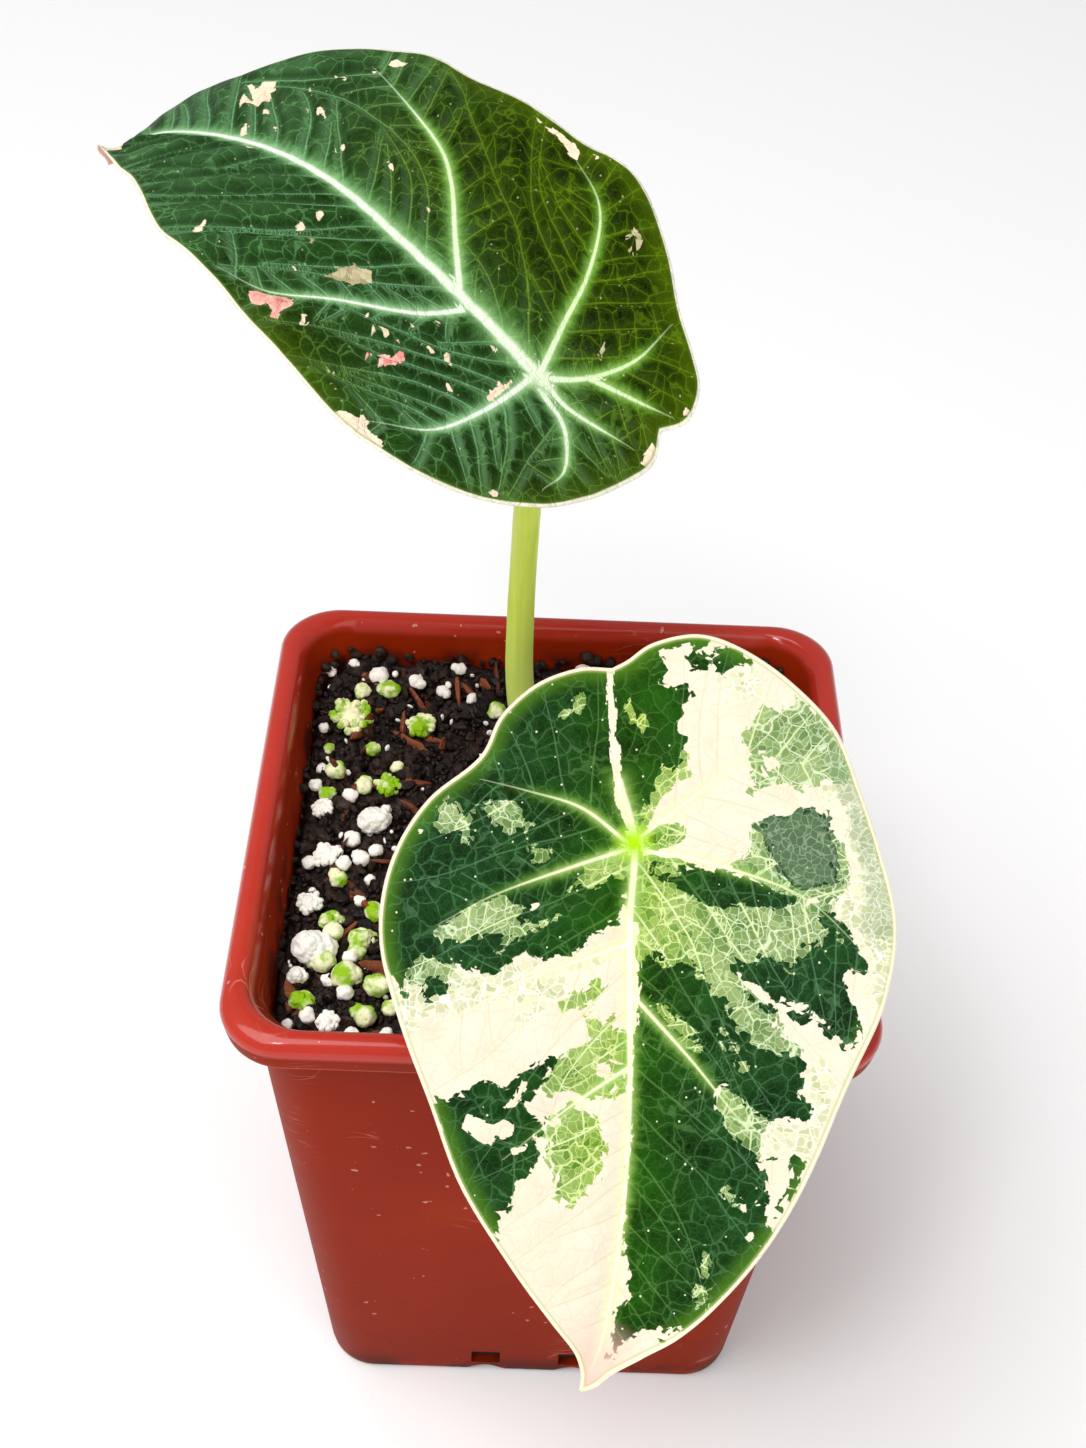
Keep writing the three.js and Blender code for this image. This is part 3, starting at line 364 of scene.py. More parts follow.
# Upper leaf: cream flecks, rose patches and dry tan ones
CREAM_FLECKS = (
    ((57, 3.4), (60.4, 1.4), (64.4, -1.4), (67, -4.6), (63, -4.6), (60.6, -3.2), (58.8, -0.8)),
    ((49.8, -15.3), (48.2, -15.7), (47.6, -14.6), (46.5, -14.2), (47.6, -13.8), (46.4, -12.6),
     (47.2, -11.4), (48.4, -11.7), (48.9, -10.2), (50.2, -11.6), (50.2, -12.2), (48.6, -12.1),
     (49.8, -13.2), (51.6, -14.4), (51.3, -14.8), (49.6, -13.9)),
    ((45.6, -11), (45, -11.1), (44.7, -10.2), (45.1, -9.9)),
    ((46.3, -8.3), (45.8, -8.4), (45, -7.2), (45.4, -6.7), (45.9, -7)),
    ((42.6, -9.2), (42.1, -8.9), (42, -8.6), (42.4, -8.6)),
    ((39.8, -13.1), (38.9, -12.8), (37.8, -12), (38.6, -12.1), (39.3, -12.3)),
    ((41.5, -13.1), (40.9, -12.8), (40.4, -12.3), (41.2, -12.7)),
    ((41.9, -18.5), (41, -18.4), (39.6, -17.9), (39.5, -17.3), (40.6, -17.7), (41.6, -18)),
    ((43.3, -15.8), (42.9, -15.6), (43, -15.1)),
    ((38, -17), (37.5, -16.7), (37.8, -16.5)),
    ((38.5, -21.2), (37.9, -20.9), (38.1, -20.4)),
    ((37.5, -22.3), (36.2, -22.9), (35, -23), (35.6, -22.3), (36.3, -21.8)),
    ((33.9, -10.2), (33.3, -9.8), (32.9, -9), (33.2, -8.9), (33.7, -9.8)),
    ((34.1, -9.2), (33.3, -8.4), (33.7, -8.9)),
    ((27.8, -10.6), (27.1, -10.5), (26.5, -9.7), (27, -9.9), (27.7, -10.3)),
    ((20.9, -8.3), (20, -7.9), (19.9, -7.6), (20.6, -7.8)),
    ((27.3, 0.9), (26.9, 1), (26.8, 1.9), (27.3, 1.6)),
    ((27.8, 3.5), (27.2, 3.5), (26.8, 5.3), (27.5, 4.8), (27.9, 4.2)),
    ((34.4, 10.4), (33.9, 10.3), (33.7, 11.2), (33.1, 12), (33.5, 12.8), (34.2, 12)),
    ((30.3, 12.2), (30, 12.4), (29.7, 13.1), (30.1, 13)),
    ((23.8, 9.3), (22.9, 9.3), (23.2, 9.9)),
    ((15.1, 8.2), (14.7, 8.2), (14.4, 9.7), (14.8, 9.5)),
    ((13.9, 9.3), (13.6, 9.5), (13.8, 10.6)),
    ((13, 9.4), (12.6, 10.1), (12.7, 10.6), (13, 10)),
    ((17.5, 13.9), (17.2, 14.2), (16.8, 15.9), (17.3, 15.6), (17.8, 15)),
    ((10.4, 3.1), (9.9, 2.9), (10, 3.5), (10.3, 4)),
    ((6.4, 6.1), (6.1, 6.2), (5.9, 7.2), (6.4, 6.9)),
    ((7.1, 4.4), (6.7, 4.5), (6.7, 5.3)),
    ((4.6, 9), (3.7, 9.1), (4.3, 9.6)),
    ((5.5, 0.8), (4.6, 0.8), (4.7, 1.3), (5.3, 1.1)),
    ((1.8, 1.9), (2, 3.3), (2.5, 3.4), (2.1, 4.2), (2, 5), (2.3, 5.3), (2, 6), (1.4, 6.3),
     (1.3, 4), (1.5, 2.2)),
    ((8.6, 20.6), (8, 20), (7, 19.7), (6.7, 19), (6, 19.1), (6, 20), (3.2, 20.2), (3.1, 21.6),
     (8.5, 22)),
    ((7.9, 19.1), (7.2, 18.6), (7.1, 19.1)),
    ((-5.2, 14.1), (-5.7, 13.9), (-6, 15), (-5.1, 15.2)),
    ((18.6, -24), (17, -24.1), (13.6, -24.5), (12.6, -23.8), (12.4, -23.2), (13, -23.1),
     (15.5, -23.5), (17.8, -23.7)),
    ((11.4, -24.7), (10.2, -24.7), (10.6, -24.2)),
    ((-11, -5), (-12.4, -4.8), (-12.8, -3.2), (-11.5, -2.5), (-11.2, -3.4)),
    ((-11.2, -10.7), (-12, -10.6), (-11.6, -9.8)),
    ((43.8, -2.6), (43.2, -3), (42.4, -4.4), (41.4, -4.9), (42.4, -3.6)),
)
ROSE_FLECKS = (
    ((20.5, 12.8), (21.6, 13.9), (23.6, 14.8), (23.8, 15.6), (22.8, 16.3), (21.7, 16.9), (21, 16),
     (20.3, 15.9), (19.9, 17.1), (19.1, 17), (19.8, 15.3), (19.6, 14.4)),
    ((9.7, 9.6), (9.1, 9.7), (8.9, 11), (8.8, 11.8), (9.2, 12.4), (9.4, 13.5), (9.9, 12.5),
     (10.7, 12.1), (10.5, 11.4), (10, 11)),
    ((11.1, 13.1), (10.8, 12.8), (10.4, 14.5), (10.7, 13.9)),
)
TAN_FLECKS = (
    ((20.4, 4.1), (18.5, 3.7), (17.6, 5), (17.7, 5.8), (18.1, 6.9), (19, 6.9), (19.8, 7.7),
     (20.7, 7.9), (21, 7.4), (20.4, 6.6), (21.1, 6), (20.5, 5.4)),
    ((3.3, -20.5), (2.2, -20.6), (1.4, -20), (1.4, -19.2), (1.5, -18), (1.9, -18.2), (1.7, -19.4),
     (2.3, -19.9), (2.6, -18.6), (3, -18.8), (2.7, -20)),
    ((25.6, 4.6), (25.1, 4.2), (24.6, 4.8), (24.2, 5.9), (25, 5.5), (25.6, 5.4)),
    ((12.5, 17.6), (11.3, 17.3), (11.8, 18)),
    ((11.1, 18), (10.7, 18.6), (10.8, 19.3)),
    ((-2, -8.6), (-2.3, -8.4), (-2.6, -7.2), (-2.3, -7.6)),
    ((34.6, -3.1), (34.1, -3.2), (33.9, -2.6), (34.5, -2), (34.8, -1.3), (35, -2)),
)

# Small loose grains on the potting mix: x, y and radius in mm
WHITE_BITS = (
    (-29, 28.4, 0.9), (-26, 28.8, 0.8), (-22.6, 27, 1.5), (-17.9, 26.2, 1.1), (-12.4, 28.6, 1),
    (-14.4, 25.4, 1), (-10.6, 24.4, 0.8), (3.4, 28.6, 1.2), (8, 26, 0.8), (-29, 19.6, 0.8),
    (-28.6, 12.6, 0.8), (-29, 9.6, 1), (-24.6, 7.4, 1.1), (-20.2, 5.8, 0.8), (-23.8, 0.8, 1.2),
    (-24.4, -3.2, 1.1), (-22.4, -2.4, 1.2), (-20.8, -1.2, 1), (-28.6, -2.6, 1), (-21.2, -5.2, 0.8),
    (-22, -9, 0.8), (-22.4, -17.2, 1), (-22.6, -22, 1.1), (-26.4, -25.6, 1), (-28.4, -26, 0.8),
    (-21.4, -27.4, 1.1), (-24.8, -19.8, 0.9), (-17.6, -27, 0.8),
)
GREEN_BITS = (
    (-21, 25, 1.5), (-24.6, 25, 1.2), (-7.4, 22.4, 1.4), (-26.8, 12, 1.5), (-27.6, 8.4, 1.2),
    (-23.2, 9.2, 1.3), (-19.2, 12.8, 0.9), (-24.8, -5.6, 1.2), (-20.2, -10.8, 1.3),
    (-24.6, -14, 1.4), (-25.4, -17.6, 1.7), (-22.8, -19.8, 1.8), (-19.2, -21.4, 1.6),
    (-21.8, -16.2, 1.2), (-20.2, -24.8, 1.5), (-17.4, -24, 1.2), (-17.8, -17.4, 1.2),
    (-18.4, -6.4, 1), (-28, 16.2, 0.8), (-22.6, 15.6, 1.1),
)

# Camera, as the photograph was taken: its place in mm and its axes
CAMERA_AT = (-4.865, -152.613, 241.893)
CAMERA_RIGHT = (0.99917, 0.01656, 0.03710)
CAMERA_UP = (-0.03824, 0.69175, 0.72112)
LONG_SIDE_PX = 1448
FOCAL_PX = 1910.8
SENSOR_MM = 36.0


def srgb(red, green, blue):
    """A colour as seen on a screen, 0 to 255, as the linear colour that shaders use."""
    linear = []
    for share in (red / 255, green / 255, blue / 255):
        linear.append(share / 12.92 if share < 0.04045 else ((share + 0.055) / 1.055) ** 2.4)
    return (*linear, 1.0)


class NodeMaker:
    """Adds nodes to one tree, so that a material reads as its recipe."""

    def __init__(self, tree):
        self.tree = tree

    def add(self, kind, **settings):
        node = self.tree.nodes.new(kind)
        for name, value in settings.items():
            setattr(node, name, value)
        return node

    def fill(self, node, **inputs):
        """Puts values in a node's inputs by their names."""
        for name, value in inputs.items():
            self.put(node.inputs[name.replace("_", " ")], value)
        return node.outputs

    def put(self, socket, value):
        """Links a socket to a value's socket, or sets it to a plain value."""
        if isinstance(value, bpy.types.NodeSocket):
            self.tree.links.new(value, socket)
        else:
            socket.default_value = value

    def math(self, operation, *values, clamp=False):
        node = self.add("ShaderNodeMath", operation=operation, use_clamp=clamp)
        for socket, value in zip(node.inputs, values):
            self.put(socket, value)
        return node.outputs[0]

    def vector(self, operation, *values):
        node = self.add("ShaderNodeVectorMath", operation=operation)
        for socket, value in zip(node.inputs, values):
            self.put(socket, value)
        return node.outputs[0]

    def scaled(self, vector, factor):
        node = self.add("ShaderNodeVectorMath", operation="SCALE")
        return self.fill(node, Vector=vector, Scale=factor)[0]

    def mix(self, factor, first, second):
        """The first colour where the factor is 0, and the second where it is 1."""
        node = self.add("ShaderNodeMix", data_type="RGBA")
        self.put(node.inputs[0], factor)
        self.put(node.inputs[6], first)
        self.put(node.inputs[7], second)
        return node.outputs[2]

    def blend(self, factor, first, second):
        """As mix, for plain numbers."""
        node = self.add("ShaderNodeMix", data_type="FLOAT")
        self.put(node.inputs[0], factor)
        self.put(node.inputs[2], first)
        self.put(node.inputs[3], second)
        return node.outputs[0]

    def ease(self, value, start, end, low=0.0, high=1.0):
        """Runs smoothly from low at start to high at end."""
        node = self.add("ShaderNodeMapRange", interpolation_type="SMOOTHSTEP")
        for socket, number in zip(node.inputs, (value, start, end, low, high)):
            self.put(socket, number)
        return node.outputs[0]

    def noise(self, vector, scale, detail=2.0, roughness=0.5, output="Fac"):
        node = self.add("ShaderNodeTexNoise")
        return self.fill(
            node, Vector=vector, Scale=scale, Detail=detail, Roughness=roughness)[output]

    def cells(self, vector, scale, feature="F1", output="Distance"):
        node = self.add("ShaderNodeTexVoronoi", feature=feature)
        return self.fill(node, Vector=vector, Scale=scale)[output]

    def attribute(self, name, output="Vector"):
        return self.add("ShaderNodeAttribute", attribute_name=name).outputs[output]

    def split(self, vector):
        node = self.add("ShaderNodeSeparateXYZ")
        self.put(node.inputs[0], vector)
        return node.outputs

    def join(self, x, y, z):
        node = self.add("ShaderNodeCombineXYZ")
        for socket, value in zip(node.inputs, (x, y, z)):
            self.put(socket, value)
        return node.outputs[0]

    def place(self):
        """The piece's own place in metres."""
        return self.add("ShaderNodeTexCoord").outputs["Object"]

    def bump(self, height, distance, strength):
        node = self.add("ShaderNodeBump")
        return self.fill(node, Strength=strength, Distance=distance, Height=height)[0]

    def group(self, tree, **inputs):
        return self.fill(self.add("ShaderNodeGroup", node_tree=tree), **inputs)


def new_material(name, **sockets):
    """A material with one Principled BSDF, whose plain values are set here."""
    material = bpy.data.materials.new(name)
    material.use_nodes = True
    shader = material.node_tree.nodes["Principled BSDF"]
    for socket, value in sockets.items():
        shader.inputs[socket.replace("_", " ")].default_value = value
    return NodeMaker(material.node_tree), shader, material


def new_shader_group(name, inputs, outputs):
    """An empty shader group with named sockets, its maker and its two ends."""
    tree = bpy.data.node_groups.new(name, "ShaderNodeTree")
    for socket, kind in inputs:
        tree.interface.new_socket(socket, in_out="INPUT", socket_type=kind)
    for socket, kind in outputs:
        tree.interface.new_socket(socket, in_out="OUTPUT", socket_type=kind)
    make = NodeMaker(tree)
    source = make.add("NodeGroupInput").outputs
    target = make.add("NodeGroupOutput").inputs
    return tree, make, source, target


VALUE = "NodeSocketFloat"
VECTOR = "NodeSocketVector"


def leaf_net_group():
    """Net veins, cells between them and streaks beside the main veins, in leaf mm."""
    if "Leaf net" in bpy.data.node_groups:
        return bpy.data.node_groups["Leaf net"]
    tree, make, source, target = new_shader_group(
        "Leaf net",
        [("Plane", VECTOR), ("Along and across", VECTOR)],
        [("Net", VALUE), ("Fine net", VALUE), ("Quilt", VALUE), ("Cell", VALUE),
         ("Ragged", VALUE), ("Streak", VALUE), ("Cloud", VALUE), ("Speck", VALUE)],
    )
    plane = source["Plane"]
    bent = make.noise(plane, 0.5, 2.0, output="Color")
    shift = make.scaled(make.vector("SUBTRACT", bent, (0.5, 0.5, 0.5)), 1.3)
    warped = make.vector("ADD", plane, shift)
    edge = make.cells(warped, 0.5, "DISTANCE_TO_EDGE")
    make.put(target["Net"], make.ease(edge, 0.012, 0.05, 1.0, 0.0))
    make.put(target["Quilt"], make.ease(edge, 0.0, 0.26))
    fine_edge = make.cells(warped, 1.3, "DISTANCE_TO_EDGE")
    make.put(target["Fine net"], make.ease(fine_edge, 0.015, 0.085, 1.0, 0.0))
    cell = make.split(make.cells(warped, 1.3, "F1", "Color"))[0]
    make.put(target["Cell"], cell)
    big_cell = make.split(make.cells(warped, 0.5, "F1", "Color"))[1]
    rough = make.noise(plane, 2.4, 2.0, 0.6)
    ragged = make.math("MULTIPLY_ADD", cell, 1.0, -0.5)
    ragged = make.math("ADD", ragged, make.math("MULTIPLY_ADD", rough, 0.5, -0.25))
    ragged = make.math("ADD", ragged, make.math("MULTIPLY_ADD", big_cell, 0.4, -0.2))
    make.put(target["Ragged"], ragged)
    stretched = make.vector("MULTIPLY", source["Along and across"], (1.5, 0.45, 1.0))
    make.put(target["Streak"], make.noise(stretched, 1.0, 3.0, 0.6))
    make.put(target["Cloud"], make.noise(plane, 0.16, 3.0, 0.55))
    dot = make.cells(plane, 0.9, "F1")
    lucky = make.split(make.cells(plane, 0.9, "F1", "Color"))[2]
    size = make.ease(lucky, 0.62, 1.0, 0.0, 0.1)
    make.put(target["Speck"], make.math("LESS_THAN", dot, size))
    return tree


def leaf_masks(make):
    """What both leaf finishes read from the mesh and from the net group."""
    plane = make.attribute("leaf_plane")
    main = make.split(make.attribute("main_vein"))
    side = make.split(make.attribute("side_vein"))
    zones = make.split(make.attribute("zones"))
    net = make.group(
        leaf_net_group(),
        Plane=plane,
        Along_and_across=make.join(main[1], main[0], 0.0),
    )
    spread = make.math("MULTIPLY_ADD", net["Streak"], 2.6, 0.1)
    spread = make.math("MULTIPLY", spread, make.math("MULTIPLY_ADD", main[2], 1.3, 0.5))
    reach = make.math("MULTIPLY_ADD", main[2], 1.5, spread)
    glow = make.math("SUBTRACT", 1.0, make.math("DIVIDE", main[0], reach), clamp=True)
    fade = make.ease(main[2], 0.08, 0.2)
    main_ratio = make.math("ABSOLUTE", make.attribute("main_side", "Fac"))
    main_ratio = make.math("DIVIDE", main_ratio, main[2])
    near_main = make.ease(make.math("SUBTRACT", main[0], main[2]), 0.1, 0.35, 1.0, 0.0)
    side_ratio = make.math("DIVIDE", make.math("ABSOLUTE", side[0]), side[2])
    near_side = make.ease(side[1], 0.25, 0.45, 1.0, 0.0)
    beside = make.ease(side[1], 0.3, 1.3, 1.0, 0.0)
    thin_end = make.ease(main[2], 0.085, 0.2, 0.25, 1.0)
    core = make.math("MULTIPLY", make.ease(main_ratio, 0.35, 1.1, 1.0, 0.0), near_main)
    return {
        "plane": plane,
        "core": make.math("MULTIPLY", core, thin_end),
        "glow": make.math("MULTIPLY", make.math("POWER", glow, 1.5), fade),
        "side": make.math("MULTIPLY", make.ease(side_ratio, 0.4, 1.4, 1.0, 0.0), near_side),
        "side_glow": make.ease(side[1], 0.0, 0.9, 1.0, 0.0),
        # Painted light and shade: beside each side vein one slope is painted lit and the other
        # painted shaded
        "lit_slope": make.math("MULTIPLY", make.ease(side[0], -0.05, 0.6), beside),
        "shaded_slope": make.math("MULTIPLY", make.ease(side[0], -0.6, 0.05, 1.0, 0.0), beside),
        "valley": make.math("SUBTRACT", 1.0, net["Quilt"]),
        "margin": zones[0],
        "warm": zones[1],
        "under": zones[2],
        "net": net["Net"],
        "fine": net["Fine net"],
        "cell": net["Cell"],
        "ragged": net["Ragged"],
        "cloud": net["Cloud"],
        "speck": net["Speck"],
    }


def leaf_bump(make, masks, strength):
    """Fine relief: the net and the creases at it lie lower than the cells between."""
    lines = make.math("MAXIMUM", masks["net"], make.math("MULTIPLY", masks["fine"], 0.6))
    grain = make.noise(masks["plane"], 5.0, 3.0)
    lines = make.math("ADD", lines, make.math("MULTIPLY", masks["valley"], 0.8))
    height = make.math("MULTIPLY_ADD", grain, 0.25, make.math("MULTIPLY", lines, -1.0))
    return make.bump(height, 0.00016, strength)


def patch_mask(make, field, masks, amount=1.0):
    """1 inside a patch, with an edge that follows the cells."""
    edge = make.math("MULTIPLY_ADD", masks["ragged"], amount, field)
    return make.ease(edge, -0.04, 0.05)


def layered(make, color, *layers):
    """Lays colours over a first one, each with its mask and strength."""
    for mask, strength, upper in layers:
        color = make.mix(make.math("MULTIPLY", mask, strength), color, upper)
    return color


def green_leaf_finish():
    """The upper leaf: deep green, blue towards the tip where it is painted sheen, and olive on the
    far side; the pleats beside the side veins carry painted highlight and painted shade.
    """
    make, shader, material = new_material("Green velvet leaf", Specular_IOR_Level=0.03)
    masks = leaf_masks(make)
    spots = make.split(make.attribute("spots"))
    masks["hub"] = spots[0]
    lucky = make.math("MULTIPLY_ADD", spots[1], 0.22, masks["cell"])
    off_net = make.ease(masks["fine"], 0.2, 0.6, 1.0, 0.0)
    crowd = make.math("MULTIPLY", make.ease(lucky, 1.1, 1.11), off_net)
    flecks = make.split(make.attribute("patches"))
    warm = masks["warm"]
    cool = make.math("SUBTRACT", 1.0, warm)
    patchy = make.ease(masks["cloud"], 0.3, 0.7)
    tipward = make.ease(make.split(masks["plane"])[0], 20.0, 50.0)
    blue = make.mix(patchy, srgb(14, 36, 2), srgb(34, 70, 20))
    # Painted sheen: towards the tip the green turns to a pale silver-blue that stands for light
    # caught on the blade
    tip_sheen = make.mix(patchy, srgb(30, 56, 24), srgb(62, 98, 60))
    blue = make.mix(tipward, blue, tip_sheen)
    olive = make.mix(patchy, srgb(9, 17, 0), srgb(26, 42, 0))
    color = make.mix(warm, blue, olive)
    line = make.mix(warm, srgb(104, 158, 100), srgb(108, 146, 14))
    edge = make.ease(masks["margin"], 0.0, 3.6, 1.0, 0.0)
    color = layered(
        make, color,
        (masks["cell"], 0.14, make.mix(warm, srgb(58, 112, 40), srgb(64, 92, 2))),
        # Painted highlight on the lit slope of each pleat
        (make.math("MULTIPLY", masks["lit_slope"], cool), 0.62, srgb(112, 154, 110)),
        (masks["valley"], 0.2, make.mix(warm, srgb(62, 112, 50), srgb(64, 92, 4))),
        (make.math("MULTIPLY", edge, warm), 0.4, srgb(92, 120, 6)),
        (masks["fine"], 0.1, line),
        (masks["net"], make.blend(warm, 0.4, 0.28), line),
        # Painted shade on the other slope of each pleat
        (make.math("MULTIPLY", masks["shaded_slope"], cool), 0.66, srgb(10, 30, 4)),
        (masks["side_glow"], 0.12, line),
        (masks["side"], make.blend(warm, 0.45, 0.2),
         make.mix(warm, srgb(138, 196, 150), srgb(150, 186, 40))),
        (masks["glow"], 0.9, make.mix(warm, srgb(104, 172, 92), srgb(90, 150, 20))),
        (make.math("POWER", masks["glow"], 2.4), 0.85,
         make.mix(warm, srgb(204, 236, 198), srgb(172, 214, 112))),
        (masks["core"], 0.92, make.mix(warm, srgb(242, 250, 236), srgb(220, 240, 186))),
        (masks["hub"], 0.8, srgb(222, 242, 200)),
        (crowd, 0.95, srgb(244, 222, 186)),
        (patch_mask(make, flecks[2], masks, 0.4), 1.0,
         make.mix(masks["cell"], srgb(166, 154, 112), srgb(208, 198, 158))),
        (patch_mask(make, flecks[0], masks, 0.3), 1.0,
         make.mix(masks["cloud"], srgb(252, 216, 196), srgb(246, 236, 200))),
        (patch_mask(make, flecks[1], masks, 0.3), 1.0,
         make.mix(masks["cell"], srgb(234, 128, 116), srgb(252, 204, 190))),
        (masks["speck"], 0.35, srgb(220, 228, 180)),
    )
    color = leaf_margin(make, masks, color, 0.28, srgb(240, 236, 212), srgb(92, 122, 40))
    under = make.mix(masks["glow"], srgb(220, 172, 148), srgb(242, 210, 190))
    make.put(shader.inputs["Base Color"], make.mix(masks["under"], color, under))
    make.put(shader.inputs["Roughness"], make.blend(masks["cell"], 0.5, 0.38))
    make.put(shader.inputs["Normal"], leaf_bump(make, masks, 0.6))
    return material


def leaf_margin(make, masks, color, width, line, inner):
    """A pale rolled line at the margin, its width in mm, with a thin darker one inside it."""
    fading = make.ease(masks["margin"], width + 0.03, width + 0.36, 0.55, 0.0)
    color = make.mix(fading, color, inner)
    return make.mix(make.ease(masks["margin"], width - 0.07, width + 0.07, 1.0, 0.0), color, line)


def cream_tissue(make, masks):
    """Cream with thin tan veins."""
    cream = make.mix(masks["cloud"], srgb(236, 229, 212), srgb(226, 215, 188))
    tan = srgb(206, 188, 140)
    return layered(
        make, cream,
        (masks["fine"], 0.08, tan),
        (masks["net"], 0.17, tan),
        (masks["side"], 0.34, tan),
    )


def beige_tissue(make, masks):
    """Beige cells under a pale net."""
    beige = make.mix(masks["cell"], srgb(186, 192, 146), srgb(226, 222, 190))
    pale = srgb(248, 244, 226)
    return layered(make, beige, (masks["fine"], 0.55, pale), (masks["net"], 0.9, pale))


def marbled_tissue(make, masks):
    """Lime near the midrib and sage further out, under a pale net."""
    lime = make.mix(masks["cell"], srgb(86, 134, 26), srgb(140, 172, 70))
    sage = make.mix(masks["cell"], srgb(78, 114, 58), srgb(130, 158, 100))
    pale = make.mix(masks["warm"], srgb(214, 228, 190), srgb(212, 228, 136))
    return layered(
        make, make.mix(masks["warm"], sage, lime),
        (make.ease(masks["cloud"], 0.35, 0.7), 0.3, srgb(204, 216, 146)),
        (masks["fine"], 0.5, pale),
        (masks["net"], 0.85, pale),
        (masks["side"], 0.8, srgb(224, 236, 176)),
    )


def deep_tissue(make, masks):
    """Deep green with a faint net, lighter towards the margin, and white specks."""
    warm = masks["warm"]
    low = make.mix(warm, srgb(7, 26, 6), srgb(9, 34, 0))
    high = make.mix(warm, srgb(24, 60, 26), srgb(28, 80, 2))
    pale = make.mix(warm, srgb(112, 162, 118), srgb(116, 160, 70))
    return layered(
        make, make.mix(make.ease(masks["cloud"], 0.3, 0.72), low, high),
        (masks["cell"], 0.12, srgb(48, 108, 36)),
        (masks["valley"], 0.12, srgb(44, 104, 34)),
        (masks["fine"], 0.07, pale),
        (masks["net"], 0.19, pale),
        (masks["side"], 0.3, pale),
        (make.ease(masks["margin"], 0.2, 2.6, 1.0, 0.0), 0.55, srgb(92, 144, 36)),
        (masks["speck"], 0.8, srgb(236, 238, 206)),
    )


def cream_leaf_finish():
    """The lower leaf: sectors of cream, beige, marbled lime and deep green."""
    make, shader, material = new_material("Variegated leaf", Specular_IOR_Level=0.03)
    masks = leaf_masks(make)
    fields = make.split(make.attribute("patches"))
    spots = make.split(make.attribute("spots"))
    in_beige = patch_mask(make, fields[2], masks, 1.3)
    in_marble = patch_mask(make, fields[1], masks, 0.9)
    in_deep = patch_mask(make, fields[0], masks, 0.7)
    in_green = make.math("MAXIMUM", in_deep, in_marble)
    veil = make.mix(masks["fine"], srgb(112, 140, 104), srgb(176, 194, 160))
    color = layered(
        make, cream_tissue(make, masks),
        (in_beige, 1.0, beige_tissue(make, masks)),
        (in_marble, 1.0, marbled_tissue(make, masks)),
        (in_deep, 1.0, deep_tissue(make, masks)),
        (make.ease(make.math("ADD", spots[2], masks["ragged"]), -0.1, 0.4), 0.5, veil),
        (masks["glow"], make.blend(in_green, 0.4, 0.7),
         make.mix(in_green, srgb(228, 236, 180), srgb(92, 160, 24))),
        (make.math("POWER", masks["glow"], 2.4), 0.7, srgb(214, 230, 150)),
        (masks["core"], 0.95, make.mix(in_green, srgb(248, 246, 214), srgb(236, 242, 196))),
        (spots[0], 1.0, srgb(172, 222, 8)),
        (spots[1], 1.0, srgb(252, 200, 188)),
    )
    color = leaf_margin(make, masks, color, 0.37, srgb(240, 232, 206), srgb(176, 186, 110))
    under = make.mix(in_deep, srgb(238, 224, 198), srgb(120, 152, 104))
    make.put(shader.inputs["Base Color"], make.mix(masks["under"], color, under))
    make.put(shader.inputs["Roughness"], make.blend(in_deep, 0.55, 0.42))
    make.put(shader.inputs["Normal"], leaf_bump(make, masks, make.blend(in_green, 0.16, 0.45)))
    return material


def spline(points, count=200):
    """A smooth line through points with its lengths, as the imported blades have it."""
    nodes = np.array(points, float)
    first = 2 * nodes[0] - nodes[1]
    last = 2 * nodes[-1] - nodes[-2]
    wide = np.vstack([first, nodes, last])
    place = np.linspace(0, len(nodes) - 1, count + 1)
    index = np.minimum(place.astype(int), len(nodes) - 2)
    weight = (place - index)[:, None]
    p0, p1, p2, p3 = (wide[index + k] for k in range(4))
    slope_in = 0.5 * (p2 - p0)
    slope_out = 0.5 * (p3 - p1)
    bend = -3 * p1 + 3 * p2 - 2 * slope_in - slope_out
    twist = 2 * p1 - 2 * p2 + slope_in + slope_out
    line = p1 + slope_in * weight + bend * weight ** 2 + twist * weight ** 3
    steps = np.linalg.norm(np.diff(line, axis=0), axis=1)
    return line, np.concatenate([[0.0], np.cumsum(steps)])


def points_at(points, shares):
    """Points of a smooth line at shares of its length."""
    line, lengths = spline(points)
    wanted = np.asarray(shares) * lengths[-1]
    return np.stack([np.interp(wanted, lengths, column) for column in line.T], axis=-1)


def leaf_axes(leaf):
    """The leaf's directions: along to the tip, across, and up from the blade."""
    heading, slope, roll = (math.radians(leaf[name]) for name in ("heading", "slope", "roll"))
    along = Vector((
        math.cos(slope) * math.cos(heading),
        math.cos(slope) * math.sin(heading),
        math.sin(slope),
    ))
    level = Vector((-math.sin(heading), math.cos(heading), 0))
    normal = along.cross(level) * math.cos(roll) + level * math.sin(roll)
    return np.array(along), np.array(normal.cross(along)), np.array(normal)


def blade_height(leaf, u, v):
    """Height of the bare blade over the leaf's plane, in mm."""
    q = u / leaf["reach"]
    bowed = np.clip(u / leaf["bow_reach"], 0, 1)
    offset = v - leaf["bow"] * (1 - np.cos(math.pi * bowed)) / 2
    arched = leaf["arch"] * 4 * q * (1 - q)
    drooped = leaf["droop"] * np.maximum(q, 0) ** DROOP_POWER
    folded = leaf["fold"] * (np.hypot(offset, FOLD_ROUND) - FOLD_ROUND)
    waves = np.sin(u * RIPPLE_PITCH + np.sign(offset))
    rippled = leaf["ripple"] * waves * (np.abs(offset) / RIPPLE_REACH) ** 3
    return arched - drooped + folded + rippled


